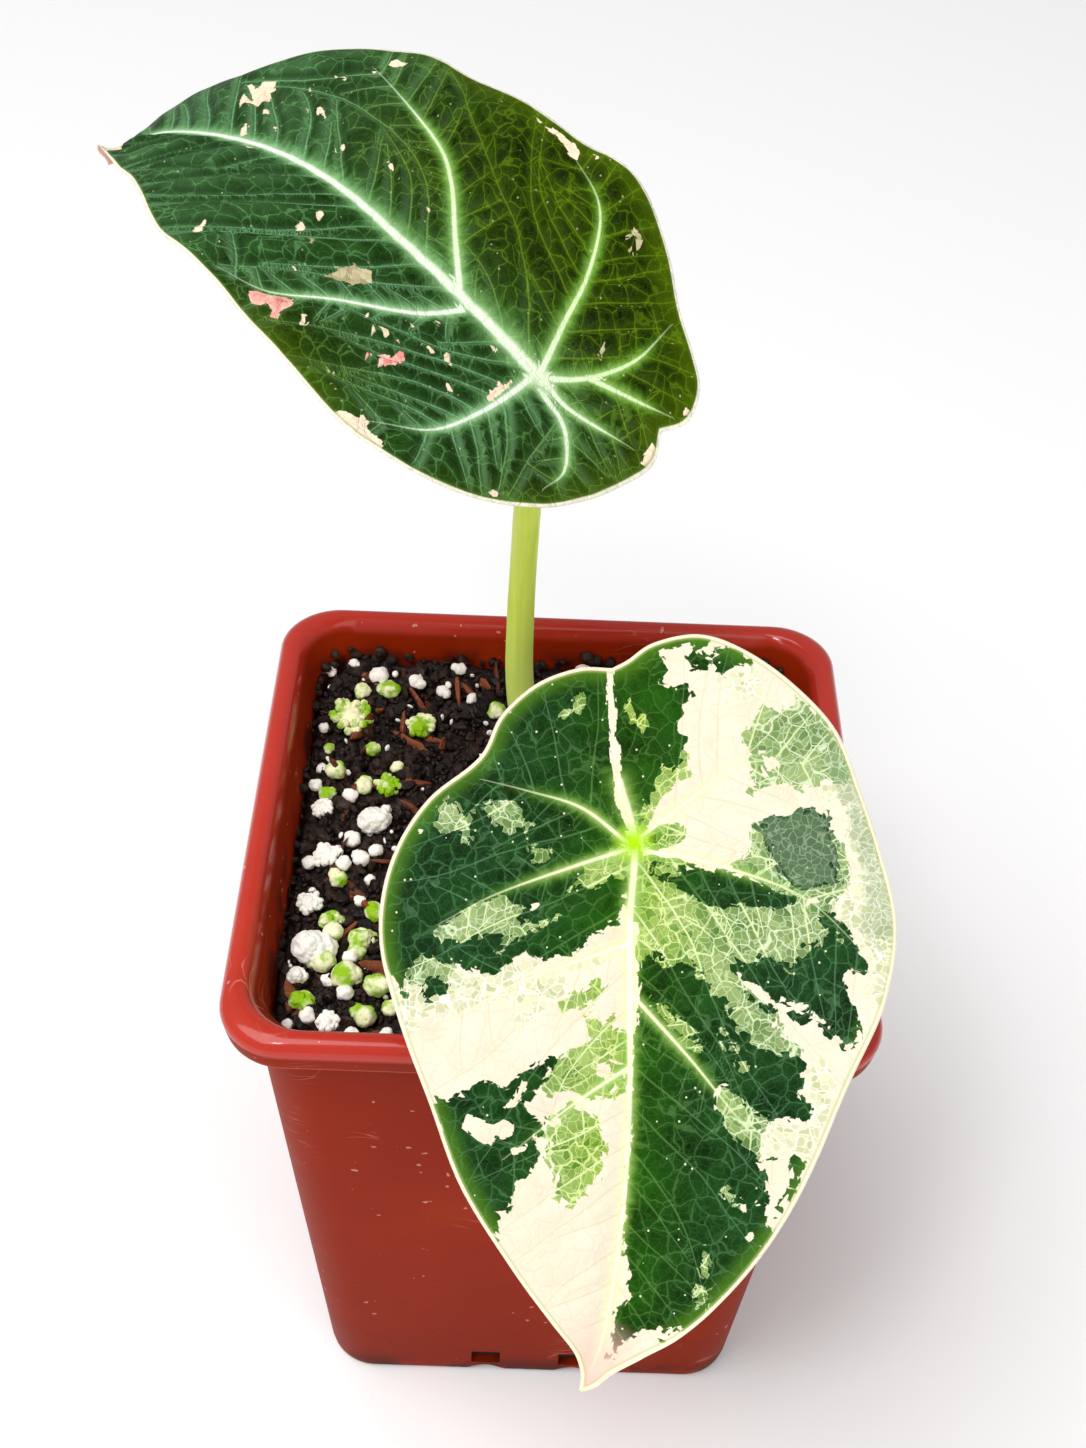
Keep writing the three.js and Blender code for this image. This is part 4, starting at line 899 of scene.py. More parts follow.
def outline_field(u, v, outline):
    """Distance in mm to a closed outline, positive inside it."""
    best = np.full(u.shape, 1e9)
    inside = np.zeros(u.shape, bool)
    corners = list(outline)
    for (from_u, from_v), (to_u, to_v) in zip(corners, corners[1:] + corners[:1]):
        run_u, run_v = to_u - from_u, to_v - from_v
        square = max(run_u * run_u + run_v * run_v, 1e-9)
        share = np.clip(((u - from_u) * run_u + (v - from_v) * run_v) / square, 0, 1)
        away = np.hypot(u - from_u - share * run_u, v - from_v - share * run_v)
        best = np.minimum(best, away)
        if from_v != to_v:
            crossed = (from_v > v) != (to_v > v)
            inside ^= crossed & (u < from_u + (v - from_v) / run_v * run_u)
    return np.where(inside, best, -best)


def patches_field(u, v, outlines, holes=()):
    """Distance to the nearest edge of several patches, positive inside, less their holes."""
    field = np.full(u.shape, -9.0)
    for outline in outlines:
        field = np.maximum(field, outline_field(u, v, outline))
    for hole in holes:
        field = np.minimum(field, -outline_field(u, v, hole))
    return field


def vein_lines(leaf):
    """The midrib and main side veins with their half widths at the root and the end."""
    midrib = leaf["spine"][2:]
    lines = [(spline(midrib, 70)[0], leaf["rib_half"], 0.16)]
    for vein in leaf["veins"]:
        lines.append((spline(vein, 30)[0], leaf["vein_half"], 0.08))
    return lines


def main_vein_field(u, v, lines):
    """Signed and plain distance, place along and half width of each point's main vein."""
    best = np.full(u.shape, 1e9)
    signed = np.zeros(u.shape)
    distance = np.full(u.shape, 1e9)
    along = np.zeros(u.shape)
    width = np.full(u.shape, 0.1)
    for number, (line, root, end) in enumerate(lines):
        steps = np.linalg.norm(np.diff(line, axis=0), axis=1)
        total = steps.sum()
        done = 0.0
        for (from_u, from_v), (to_u, to_v), step in zip(line[:-1], line[1:], steps):
            run_u, run_v = (to_u - from_u) / step, (to_v - from_v) / step
            share = np.clip((u - from_u) * run_u + (v - from_v) * run_v, 0, step)
            off_u = u - from_u - share * run_u
            off_v = v - from_v - share * run_v
            away = np.hypot(off_u, off_v)
            place = (done + share) / total
            half = root + (end - root) * place ** 0.8
            closer = away - half < best
            best = np.where(closer, away - half, best)
            sign = np.where(run_u * off_v - run_v * off_u < 0, -1.0, 1.0)
            signed = np.where(closer, away * sign, signed)
            distance = np.where(closer, away, distance)
            along = np.where(closer, done + share + number * 40, along)
            width = np.where(closer, half, width)
            done += step
    return signed, distance, along, width


def grow_side_veins(leaf, lines, seed):
    """Side veins by rule: off each main vein at an angle, bending to the tip, and ending
    at the margin or at another vein. Each is a list of (u, v) at even steps."""
    draw = random.Random(seed)
    margin = np.vstack([spline(leaf[side], 160)[0] for side in ("left", "right")])
    taken = [line[::2] for line, _, _ in lines]
    step = 0.45
    veins = []
    for number, (line, _, _) in enumerate(lines):
        spacing = 3.3 if number == 0 else 2.9
        line_steps = np.linalg.norm(np.diff(line, axis=0), axis=1)
        lengths = np.concatenate([[0.0], np.cumsum(line_steps)])
        place = 2.2
        while place < lengths[-1] - 0.6:
            for sign in (-1, 1):
                at = place + draw.uniform(-0.7, 0.7)
                start = np.array([np.interp(at, lengths, line[:, k]) for k in (0, 1)])
                ahead = np.array([np.interp(at + 0.5, lengths, line[:, k]) for k in (0, 1)])
                heading = math.atan2(ahead[1] - start[1], ahead[0] - start[0])
                angle = leaf["side_angles"][sign] if number == 0 else 56
                heading += sign * math.radians(angle + draw.uniform(-5, 5))
                bend = -sign * math.radians(draw.uniform(0.2, 1.3)) * step
                others = np.vstack([other for k, other in enumerate(taken) if k != number])
                vein = [start]
                while len(vein) < 90:
                    tip = vein[-1] + step * np.array([math.cos(heading), math.sin(heading)])
                    heading += bend + math.radians(draw.uniform(-3.5, 3.5))
                    vein.append(tip)
                    if np.min(np.hypot(*(margin - tip).T)) < 1.0:
                        break
                    if len(vein) > 5 and np.min(np.hypot(*(others - tip).T)) < 0.7:
                        break
                if len(vein) > 4:
                    veins.append(np.array(vein))
                    taken.append(veins[-1])
            place += spacing * draw.uniform(0.85, 1.15)
    return veins


def side_vein_field(u, v, veins):
    """Signed distance, plain distance and half width of the nearest side vein."""
    places, tangents, widths = [], [], []
    for vein in veins:
        dense = spline(vein, len(vein) * 3)[0]
        run = np.gradient(dense, axis=0)
        run /= np.linalg.norm(run, axis=1)[:, None]
        share = np.linspace(0, 1, len(dense))
        places.append(dense)
        tangents.append(run)
        widths.append(0.12 - 0.07 * share)
    places = np.vstack(places)
    tangents = np.vstack(tangents)
    widths = np.concatenate(widths)
    tree = kdtree.KDTree(len(places))
    for index, (a, b) in enumerate(places):
        tree.insert((a, b, 0), index)
    tree.balance()
    nearest = np.array([tree.find((a, b, 0))[1] for a, b in zip(u, v)])
    off = np.stack([u, v], axis=1) - places[nearest]
    run = tangents[nearest]
    away = np.hypot(off[:, 0], off[:, 1])
    sign = np.where(run[:, 0] * off[:, 1] - run[:, 1] * off[:, 0] < 0, -1.0, 1.0)
    beyond = np.abs((off * run).sum(axis=1))
    straight = np.sqrt(np.maximum(away ** 2 - beyond ** 2, 0))
    exact = np.where(beyond < 0.2, straight, away)
    return exact * sign, away, widths[nearest]


def blade_grid(leaf, rows, columns):
    """The blade's points on its plane: u, v, and shares s of the length and t of the width."""
    shares = np.linspace(0, 1, rows + 1)
    spine = points_at(leaf["spine"], shares)
    left = points_at(leaf["left"], shares)
    right = points_at(leaf["right"], shares)
    side = np.linspace(-1, 1, columns + 1)
    side = np.sign(side) * np.abs(side) ** 0.94
    t = np.abs(side)[None, :] * np.ones((rows + 1, 1))
    t[0, :] = 0
    t[-1, :] = 0
    edge = np.where((side < 0)[None, :, None], left[:, None, :], right[:, None, :])
    place = spine[:, None, :] * (1 - t[..., None]) + edge * t[..., None]
    s = shares[:, None] * np.ones((1, columns + 1))
    is_left = np.broadcast_to(side < 0, t.shape)
    return place[..., 0], place[..., 1], s, t, is_left


def skin_faces(rows, columns, shift):
    """Quads of the upper skin, the lower skin and the margin strips."""
    width = columns + 1
    corner = (np.arange(rows)[:, None] * width + np.arange(columns)[None, :]).ravel()
    upper = np.stack([corner, corner + 1, corner + width + 1, corner + width], axis=1)
    lower = upper[:, ::-1] + shift
    start = np.arange(rows) * width
    left = np.stack([start, start + width, start + width + shift, start + shift], axis=1)
    right = np.stack([start + columns, start + columns + shift,
                      start + width + columns + shift, start + width + columns], axis=1)
    return np.vstack([upper, lower, left, right])


def store(mesh, name, columns):
    """Stores one or three numbers for each vertex under a name."""
    kind = "FLOAT_VECTOR" if len(columns) == 3 else "FLOAT"
    key = "vector" if len(columns) == 3 else "value"
    layer = mesh.attributes.new(name, kind, "POINT")
    values = np.stack(columns, axis=1) if len(columns) == 3 else columns[0]
    layer.data.foreach_set(key, np.ascontiguousarray(values, np.float32).ravel())


def make_blade(name, leaf, settings, paint):
    """A fine blade mesh with its relief, and the numbers that its finish reads."""
    rows, columns = settings.rows, settings.columns
    u, v, s, t, is_left = blade_grid(leaf, rows, columns)
    flat_u, flat_v = u.ravel(), v.ravel()
    lines = vein_lines(leaf)
    signed, distance, along, width = main_vein_field(flat_u, flat_v, lines)
    side_signed, side_away, side_width = side_vein_field(
        flat_u, flat_v, grow_side_veins(leaf, lines, settings.vein_seed))
    edge = np.vstack([spline(leaf["left"], 120)[0], spline(leaf["right"], 120)[0][::-1]])
    margin = np.maximum(outline_field(flat_u, flat_v, edge), 0).reshape(u.shape)
    away = distance.reshape(u.shape)
    side_gap = side_away.reshape(u.shape)
    puff = settings.quilting * leaf["quilt"]
    tip_curl = np.maximum(0, 1 - np.abs(s - 0.93) / 0.09) * np.maximum(0, (t - 0.55) / 0.45) ** 2
    quilted = puff * (1 - np.exp(-(side_gap / 0.9) ** 2)) * (1 - np.exp(-(away / 1.6) ** 2))
    quilted *= np.clip(margin / 4, 0, 1)
    height = blade_height(leaf, u, v) + np.where(is_left, leaf["curl"] * tip_curl, 0)
    height += quilted - leaf["groove"] * np.exp(-(away / 1.7) ** 2)
    rolled = np.exp(-(margin / 0.3) ** 2) * 0.14
    thickness = settings.thickness / MM * (1 - 0.45 * np.exp(-(margin / 0.8) ** 2))
    rib = 0.5 * np.exp(-(away / 0.9) ** 2) * (1 - t ** 6)
    rib += 0.12 * np.exp(-(side_gap / 0.35) ** 2) * np.clip(margin / 1.5, 0, 1)
    along_axis, across_axis, normal = leaf_axes(leaf)
    skins = []
    for skin in (height - rolled, height - thickness - rib + rolled):
        skins.append(
            np.array(leaf["at"])
            + u[..., None] * along_axis
            + v[..., None] * across_axis
            + skin[..., None] * normal
        )
    points = np.vstack([skin.reshape(-1, 3) for skin in skins]) * MM
    mesh = bpy.data.meshes.new(name)
    faces = skin_faces(rows, columns, u.size)
    mesh.from_pydata(points.tolist(), [], faces.tolist())
    double = [np.concatenate([column, column]) for column in (flat_u, flat_v)]
    under = np.concatenate([np.zeros(u.size), np.ones(u.size)])
    store(mesh, "leaf_plane", (double[0], double[1], np.zeros(u.size * 2)))
    store(mesh, "main_vein", [np.tile(field, 2) for field in (distance, along, width)])
    store(mesh, "main_side", (np.tile(signed, 2),))
    store(mesh, "side_vein", [np.tile(f, 2) for f in (side_signed, side_away, side_width)])
    painted = paint(flat_u, flat_v)
    warm = painted.pop("warm")
    for field_name, fields in painted.items():
        store(mesh, field_name, [np.tile(field, 2) for field in fields])
    store(mesh, "zones", (np.tile(margin.ravel(), 2), np.tile(warm, 2), under))
    close_ends(mesh)
    mesh.shade_smooth()
    return mesh


def close_ends(mesh):
    """Joins the points that fall together at the notch and the tip."""
    work = bmesh.new()
    work.from_mesh(mesh)
    bmesh.ops.remove_doubles(work, verts=work.verts, dist=2e-6)
    bmesh.ops.dissolve_degenerate(work, dist=1e-7, edges=work.edges)
    work.to_mesh(mesh)
    work.free()


def paint_upper(u, v):
    """Flecks and tones of the upper leaf."""
    far_side = 1 / (1 + np.exp((v + 4 + 0.22 * (u - 12)) / 2.6))
    warm = far_side / (1 + np.exp((u - 33) / 4))
    lobes = 1 / (1 + np.exp((u + 5) / 2.5))
    low_edge = np.exp(-((u - 16) / 9) ** 2) / (1 + np.exp(-(v - 14) / 1.6))
    warm = np.clip(np.maximum(np.maximum(warm, 0.8 * lobes), 0.85 * low_edge), 0, 1)
    return {
        "patches": (
            patches_field(u, v, CREAM_FLECKS),
            patches_field(u, v, ROSE_FLECKS),
            patches_field(u, v, TAN_FLECKS),
        ),
        "spots": (
            np.clip(1.3 - np.hypot(u, v + 0.4) / 1.5, 0, 1),
            np.exp(-((u - 12) / 7) ** 2 - ((v - 7) / 3.6) ** 2),
            0 * u,
        ),
        "warm": warm,
    }


def paint_lower(u, v):
    """Sectors and tones of the lower leaf."""
    warm = np.exp(-(np.abs(v - 0.03 * u) / 8.5) ** 2)
    from_hub = np.hypot(u - HUB[0], v - HUB[1])
    from_tip = np.hypot(u - TIP[0], v - TIP[1])
    hub_glow = np.clip(1.25 - from_hub / 1.9, 0, 1)
    tip_blush = np.clip(1.15 - from_tip / 8, 0, 1)
    cream = patches_field(u, v, CREAM_ISLANDS)
    deep = patches_field(u, v, DEEP_PATCHES, PALE_ISLANDS)
    deep = np.minimum(deep, -2.5 * cream)
    marbled = np.maximum(
        patches_field(u, v, MARBLED_PATCHES, MARBLED_HOLES),
        patches_field(u, v, PALE_ISLANDS))
    near_marbled = np.clip((marbled + 1.6) / 1.2, 0, 1)
    marbled += (0.25 + 1.6 * near_marbled) * np.exp(-(deep / 0.9) ** 2)
    marbled = np.minimum(marbled, -2.5 * cream)
    veiled = patches_field(u, v, [GREY_PATCH, SAGE_VEIL])
    return {
        "patches": (deep, marbled, patches_field(u, v, BEIGE_PATCHES)),
        "spots": (hub_glow, tip_blush, veiled),
        "warm": warm,
    }


def add_piece(name, mesh, material, nodes=()):
    """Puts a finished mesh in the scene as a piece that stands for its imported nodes."""
    mesh.materials.clear()
    mesh.materials.append(material)
    piece = bpy.data.objects.new(name, mesh)
    bpy.context.scene.collection.objects.link(piece)
    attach(piece, BODY)
    if nodes:
        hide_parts(*nodes)
    return piece


def square_ring(half, corner, z, arc_steps, side_steps):
    """A square ring with round corners, counterclockwise from above, in mm."""
    flat = half - corner
    ring = []
    for quarter in range(4):
        turn = Matrix.Rotation(quarter * TURN / 4, 3, "Z")
        places = [(half, -flat + 2 * flat * i / side_steps) for i in range(1, side_steps)]
        for i in range(arc_steps + 1):
            angle = i / arc_steps * TURN / 4
            places.append((flat + corner * math.cos(angle), flat + corner * math.sin(angle)))
        ring += [turn @ Vector((x, y, z)) for x, y in places]
    return ring


def loft(name, rings, start=None, end=None):
    """A closed skin through rings of equal length, with a fan to a point at each end."""
    count = len(rings[0])
    points = [tuple(Vector(point) * MM) for ring in rings for point in ring]
    faces = []
    for i in range(len(rings) - 1):
        low = i * count
        for j in range(count):
            k = (j + 1) % count
            faces.append((low + j, low + k, low + count + k, low + count + j))
    for centre, base, turned in ((start, 0, True), (end, (len(rings) - 1) * count, False)):
        if centre is None:
            continue
        points.append(tuple(Vector(centre) * MM))
        hub = len(points) - 1
        for j in range(count):
            k = (j + 1) % count
            face = (hub, base + k, base + j) if turned else (hub, base + j, base + k)
            faces.append(face)
    mesh = bpy.data.meshes.new(name)
    mesh.from_pydata(points, [], faces)
    return mesh


def wall_half(z):
    """Half width of the pot's outer wall at a height, in mm."""
    return FOOT_HALF + WALL_WIDENING * z / WALL_HEIGHT


def arc(centre, radius, from_deg, to_deg, steps):
    """Points of an arc in the pot's section, as half widths and heights."""
    points = []
    for i in range(steps + 1):
        angle = math.radians(from_deg + (to_deg - from_deg) * i / steps)
        points.append((centre[0] + radius * math.cos(angle), centre[1] + radius * math.sin(angle)))
    return points


def pot_section(settings):
    """The pot's section: foot, outer wall, hanging lip, rolled rim and inside."""
    height = settings.height / MM
    rim = settings.rim_half / MM
    wall = settings.wall / MM
    lip_bottom = height - 4.2
    lip_roof = height - 2.1
    roll = 1.6
    section = [(18.0, 0.35), (24.6, 0.3), (25.2, 0.0)]
    section += arc((25.7, 1.1), 1.1, -90, -8, 5)
    section += [(wall_half(2.2), 2.2)]
    section += [(wall_half(z), z) for z in (12, 30, 50, 66, 74)]
    section += [(wall_half(lip_roof), lip_roof), (rim - 1.4, lip_roof)]
    section += [(rim - 1.6, lip_bottom + 0.3), (rim - 1.45, lip_bottom + 0.08)]
    section += [(rim - 1.1, lip_bottom), (rim - 0.55, lip_bottom), (rim - 0.32, lip_bottom + 0.2)]
    section += [(rim - 0.2, lip_bottom + 1.0)]
    section += arc((rim - roll, height - roll), roll, 0, 90, 8)
    section += [(rim - roll - 0.5, height - 0.06), (rim - roll - 0.95, height - 0.35)]
    section += [(rim - roll - 1.3, height - 1.0)]
    section += [(wall_half(lip_bottom) - wall + 0.2, lip_bottom + 1)]
    section += [(wall_half(z) - wall, z) for z in (lip_bottom - 3, 60, 40, 20, 2.6)]
    section += [(wall_half(1.6) - wall - 1, 1.6)]
    return section


def drain_cutters(settings):
    """Slots and arches that are cut from the pot's foot, as one mesh."""
    work = bmesh.new()
    for side in range(4):
        for offset in (-5.8, 5.8):
            outlines = [
                [(-1.9, 2.9), (-1.7, 2.7), (1.7, 2.7), (1.9, 2.9), (1.9, 5.7), (1.7, 5.9),
                 (-1.7, 5.9), (-1.9, 5.7)],
                [(-4.2, -1)] + [(4.2 * a, 1 + math.cos(math.pi * a))
                                for a in np.linspace(-1, 1, 17)] + [(4.2, -1)],
            ]
            for outline in outlines:
                front = [work.verts.new((x + offset, -wall_half(0) - 3, z)) for x, z in outline]
                back = [work.verts.new((x + offset, -wall_half(0) + 3, z)) for x, z in outline]
                work.faces.new(front[::-1])
                work.faces.new(back)
                for i in range(len(front)):
                    k = (i + 1) % len(front)
                    work.faces.new((front[i], front[k], back[k], back[i]))
                turn = Matrix.Rotation(side * TURN / 4, 4, "Z")
                bmesh.ops.transform(work, matrix=Matrix.Scale(MM, 4) @ turn, verts=front + back)
    bmesh.ops.recalc_face_normals(work, faces=work.faces)
    mesh = bpy.data.meshes.new("drain cutters")
    work.to_mesh(mesh)
    work.free()
    cutter = bpy.data.objects.new("drain cutters", mesh)
    bpy.context.scene.collection.objects.link(cutter)
    return cutter


def baked_mesh(source, name):
    """The mesh of an object with its modifiers, after which the object is removed."""
    bpy.context.view_layer.update()
    graph = bpy.context.evaluated_depsgraph_get()
    mesh = bpy.data.meshes.new_from_object(source.evaluated_get(graph), depsgraph=graph)
    mesh.name = name
    bpy.data.objects.remove(source)
    return mesh


def scratch_object(name, mesh):
    """An object that only carries modifiers until its mesh is baked."""
    holder = bpy.data.objects.new(name, mesh)
    bpy.context.scene.collection.objects.link(holder)
    return holder


def make_pot_mesh(settings):
    """The pot as one lofted shell with its drain slots and arches cut."""
    rim = settings.rim_half / MM
    rings = []
    for half, z in pot_section(settings):
        corner = settings.corner / MM - (rim - half) * 0.12
        rings.append(square_ring(half, max(corner, 3.0), z, 14, 6))
    shell = loft("pot shell", rings, (0, 0, 0.35), (0, 0, 1.6))
    holder = scratch_object("pot shell", shell)
    cutter = drain_cutters(settings)
    cut = holder.modifiers.new("drains", "BOOLEAN")
    cut.operation = "DIFFERENCE"
    cut.solver = "EXACT"
    cut.object = cutter
    mesh = baked_mesh(holder, "pot")
    bpy.data.objects.remove(cutter)
    mesh.shade_smooth()
    mesh.set_sharp_from_angle(angle=math.radians(38))
    return mesh


def scuff_group():
    """Scratches, lime spots and dirt in metres."""
    tree, make, source, target = new_shader_group(
        "Scuffs", [("Place", VECTOR)],
        [("Scratch", VALUE), ("Lime", VALUE), ("Cloud", VALUE), ("Pit", VALUE)],
    )
    place = source["Place"]
    bent = make.noise(place, 60, 2.0, output="Color")
    bent = make.vector("ADD", place, make.scaled(bent, 0.012))
    long_way = make.vector("MULTIPLY", bent, (90.0, 90.0, 700.0))
    line = make.cells(long_way, 1.0, "DISTANCE_TO_EDGE")
    gate = make.ease(make.noise(place, 95, 3.0), 0.58, 0.7)
    make.put(target["Scratch"], make.math("MULTIPLY", make.ease(line, 0.0, 0.03, 1.0, 0.0), gate))
    spot = make.cells(bent, 900, "F1")
    lucky = make.split(make.cells(bent, 900, "F1", "Color"))[0]
    crowd = make.ease(make.noise(place, 38, 2.0), 0.4, 0.68, 0.0, 0.12)
    size = make.ease(make.math("ADD", lucky, crowd), 0.92, 1.1, 0.0, 0.3)
    broken = make.math("MULTIPLY_ADD", make.noise(place, 3200, 2.0), 0.4, -0.2)
    away = make.math("SUBTRACT", make.math("ADD", spot, broken), size)
    make.put(target["Lime"], make.ease(away, -0.05, 0.03, 1.0, 0.0))
    make.put(target["Cloud"], make.noise(place, 45, 4.0, 0.6))
    make.put(target["Pit"], make.noise(place, 1500, 3.0, 0.6))
    return tree


def pot_finish():
    """Brick-red moulded plastic: satin walls with scuffs, dirt and painted shade towards the foot,
    and a shinier rim in a paler red of painted light, with a painted highlight along the lip's
    lower edge.
    """
    make, shader, material = new_material(
        "Moulded pot plastic", Specular_IOR_Level=0.05, Coat_Roughness=0.12)
    place = make.place()
    axes = make.split(place)
    scuffs = make.group(scuff_group(), Place=place)
    past_flat = make.vector("SUBTRACT", make.vector("ABSOLUTE", place), (0.026, 0.026, 1.0))
    round_corner = make.add("ShaderNodeVectorMath", operation="LENGTH")
    make.put(round_corner.inputs[0], make.vector("MAXIMUM", past_flat, (0.0, 0.0, 0.0)))
    aside = make.math("ADD", round_corner.outputs["Value"], 0.026)
    outside = make.ease(aside, 0.0336, 0.0342)
    # Painted highlight: a thin pale line along the outside of the lip's lower edge
    lip_edge_highlight = make.math("MULTIPLY", make.ease(axes[2], 0.0780, 0.0783, 1.0, 0.0), outside)
    off_wall = make.math("MULTIPLY_ADD", axes[2], -0.0668, aside)
    within = make.ease(off_wall, 0.0261, 0.0267, 1.0, 0.0)
    within = make.math("MULTIPLY", within, make.ease(axes[2], 0.0735, 0.0745))
    on_rim = make.ease(axes[2], 0.0796, 0.0805)
    on_rim = make.math("MULTIPLY", on_rim, make.math("SUBTRACT", 1.0, within))
    smears = make.math("MULTIPLY", within, make.ease(make.noise(place, 170, 4.0), 0.46, 0.6))
    smears = make.math("MULTIPLY", smears, make.ease(axes[2], 0.0765, 0.0795, 1.0, 0.1))
    wall = make.mix(scuffs["Cloud"], srgb(126, 28, 0), srgb(154, 40, 4))
    near_foot = make.ease(axes[2], 0.0, 0.006, 1.0, 0.0)
    dirt = make.math("MULTIPLY", near_foot, make.ease(make.noise(place, 130, 3.0), 0.45, 0.57))
    color = layered(
        make, wall,
        # Painted shade: the wall darkens over its lower 40 mm
        (make.ease(axes[2], 0.0, 0.04, 1.0, 0.0), 0.4, srgb(114, 26, 0)),
        # The rim is painted a paler red: painted light on the pot's upper surfaces
        (on_rim, 0.8, srgb(190, 48, 36)),
        # Painted highlight along the lip's lower edge
        (lip_edge_highlight, 0.5, srgb(214, 104, 84)),
        (make.ease(scuffs["Cloud"], 0.5, 0.75), 0.06, srgb(200, 96, 50)),
        (scuffs["Scratch"], 0.4, srgb(226, 150, 128)),
        (scuffs["Lime"], 0.5, srgb(232, 184, 168)),
        (dirt, 0.8, srgb(40, 22, 16)),
        (smears, 0.75, srgb(44, 20, 12)),
    )
    make.put(shader.inputs["Base Color"], color)
    make.put(shader.inputs["Coat Weight"], make.math("MULTIPLY", on_rim, 0.7))
    rough = make.math("MULTIPLY_ADD", scuffs["Cloud"], 0.14, make.blend(on_rim, 0.4, 0.17))
    rough = make.math("MULTIPLY_ADD", within, 0.35, rough)
    make.put(shader.inputs["Roughness"], rough)
    scratched = make.math("MULTIPLY", scuffs["Scratch"], -0.6)
    height_map = make.math("MULTIPLY_ADD", scuffs["Pit"], 0.35, scratched)
    make.put(shader.inputs["Normal"], make.bump(height_map, 0.00006, 0.4))
    return material


def soil_height(x, y):
    """Height of the potting mix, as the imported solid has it, in mm."""
    reach = max(abs(x), abs(y)) / MIX_REACH
    clods = math.sin(x * 0.62 + 1.3) * math.sin(y * 0.57 + 0.4)
    clods += 0.6 * math.sin(x * 1.27 - y * 0.83 + 2.1) + 0.5 * math.sin(x * 0.71 + y * 1.49)
    back = max(0.0, y / MIX_REACH)
    crown = MIX_CROWN * (1 - reach * reach)
    return MIX_LEVEL + crown + MIX_RISE * back * back + MIX_CLODS * clods


def crumb_height(x, y):
    """Height of the crumbs, which lie a little higher against the back wall, in mm."""
    return soil_height(x, y) + 1.3 * min(max((y - 19) / 11, 0), 1) ** 2


def make_bed_mesh():
    """The body of the potting mix with a crumbled top."""
    rings = []
    for half, z in ((25.3, 2.0), (26.2, 3.4), (28.4, 40.0), (29.9, 69.0)):
        rings.append(square_ring(half, 5.8, z, 6, 18))
    steps = 60
    for i in range(steps):
        half = 30.1 * (1 - i / steps)
        ring = square_ring(half, min(5.8, half * 0.45), 0, 6, 18)
        for point in ring:
            rough = noise.fractal(Vector((point.x, point.y, 3.0)) * 0.55, 0.8, 2.1, 5)
            point.z = crumb_height(point.x, point.y) - 0.35 + 0.9 * rough
        rings.append(ring)
    mesh = loft("potting_mix", rings, (0, 0, 2.0), (0, 0, soil_height(0, 0)))
    mesh.shade_smooth()
    return mesh


def grit_group():
    """Grain of crumbled matter in metres: a tone and a height."""
    if "Grit" in bpy.data.node_groups:
        return bpy.data.node_groups["Grit"]
    tree, make, source, target = new_shader_group(
        "Grit", [("Place", VECTOR)], [("Tone", VALUE), ("Height", VALUE), ("Fibre", VALUE)])
    place = source["Place"]
    make.put(target["Tone"], make.noise(place, 420, 4.0, 0.65))
    fine = make.noise(place, 1700, 4.0, 0.7)
    lumps = make.cells(place, 900, "F1")
    make.put(target["Height"], make.math("ADD", fine, make.math("MULTIPLY", lumps, -0.8)))
    stretched = make.vector("MULTIPLY", place, (500.0, 2600.0, 900.0))
    make.put(target["Fibre"], make.ease(make.noise(stretched, 1.0, 2.0), 0.6, 0.72))
    return tree


def mix_finish(name, dark, light, fibre, gloss=0.62):
    """Damp crumbled matter between two tones, with paler fibres."""
    make, shader, material = new_material(name, Specular_IOR_Level=0.36)
    grit = make.group(grit_group(), Place=make.place())
    tint = make.attribute("tint", "Fac")
    tone = make.math("ADD", grit["Tone"], make.math("MULTIPLY", tint, 0.55))
    color = make.mix(make.ease(tone, 0.35, 1.05), dark, light)
    color = make.mix(make.math("MULTIPLY", grit["Fibre"], 0.35), color, fibre)
    make.put(shader.inputs["Base Color"], color)
    rough = make.ease(grit["Tone"], 0.2, 0.7, gloss - 0.35, gloss + 0.15)
    make.put(shader.inputs["Roughness"], rough)
    make.put(shader.inputs["Normal"], make.bump(grit["Height"], 0.00022, 0.8))
    return material


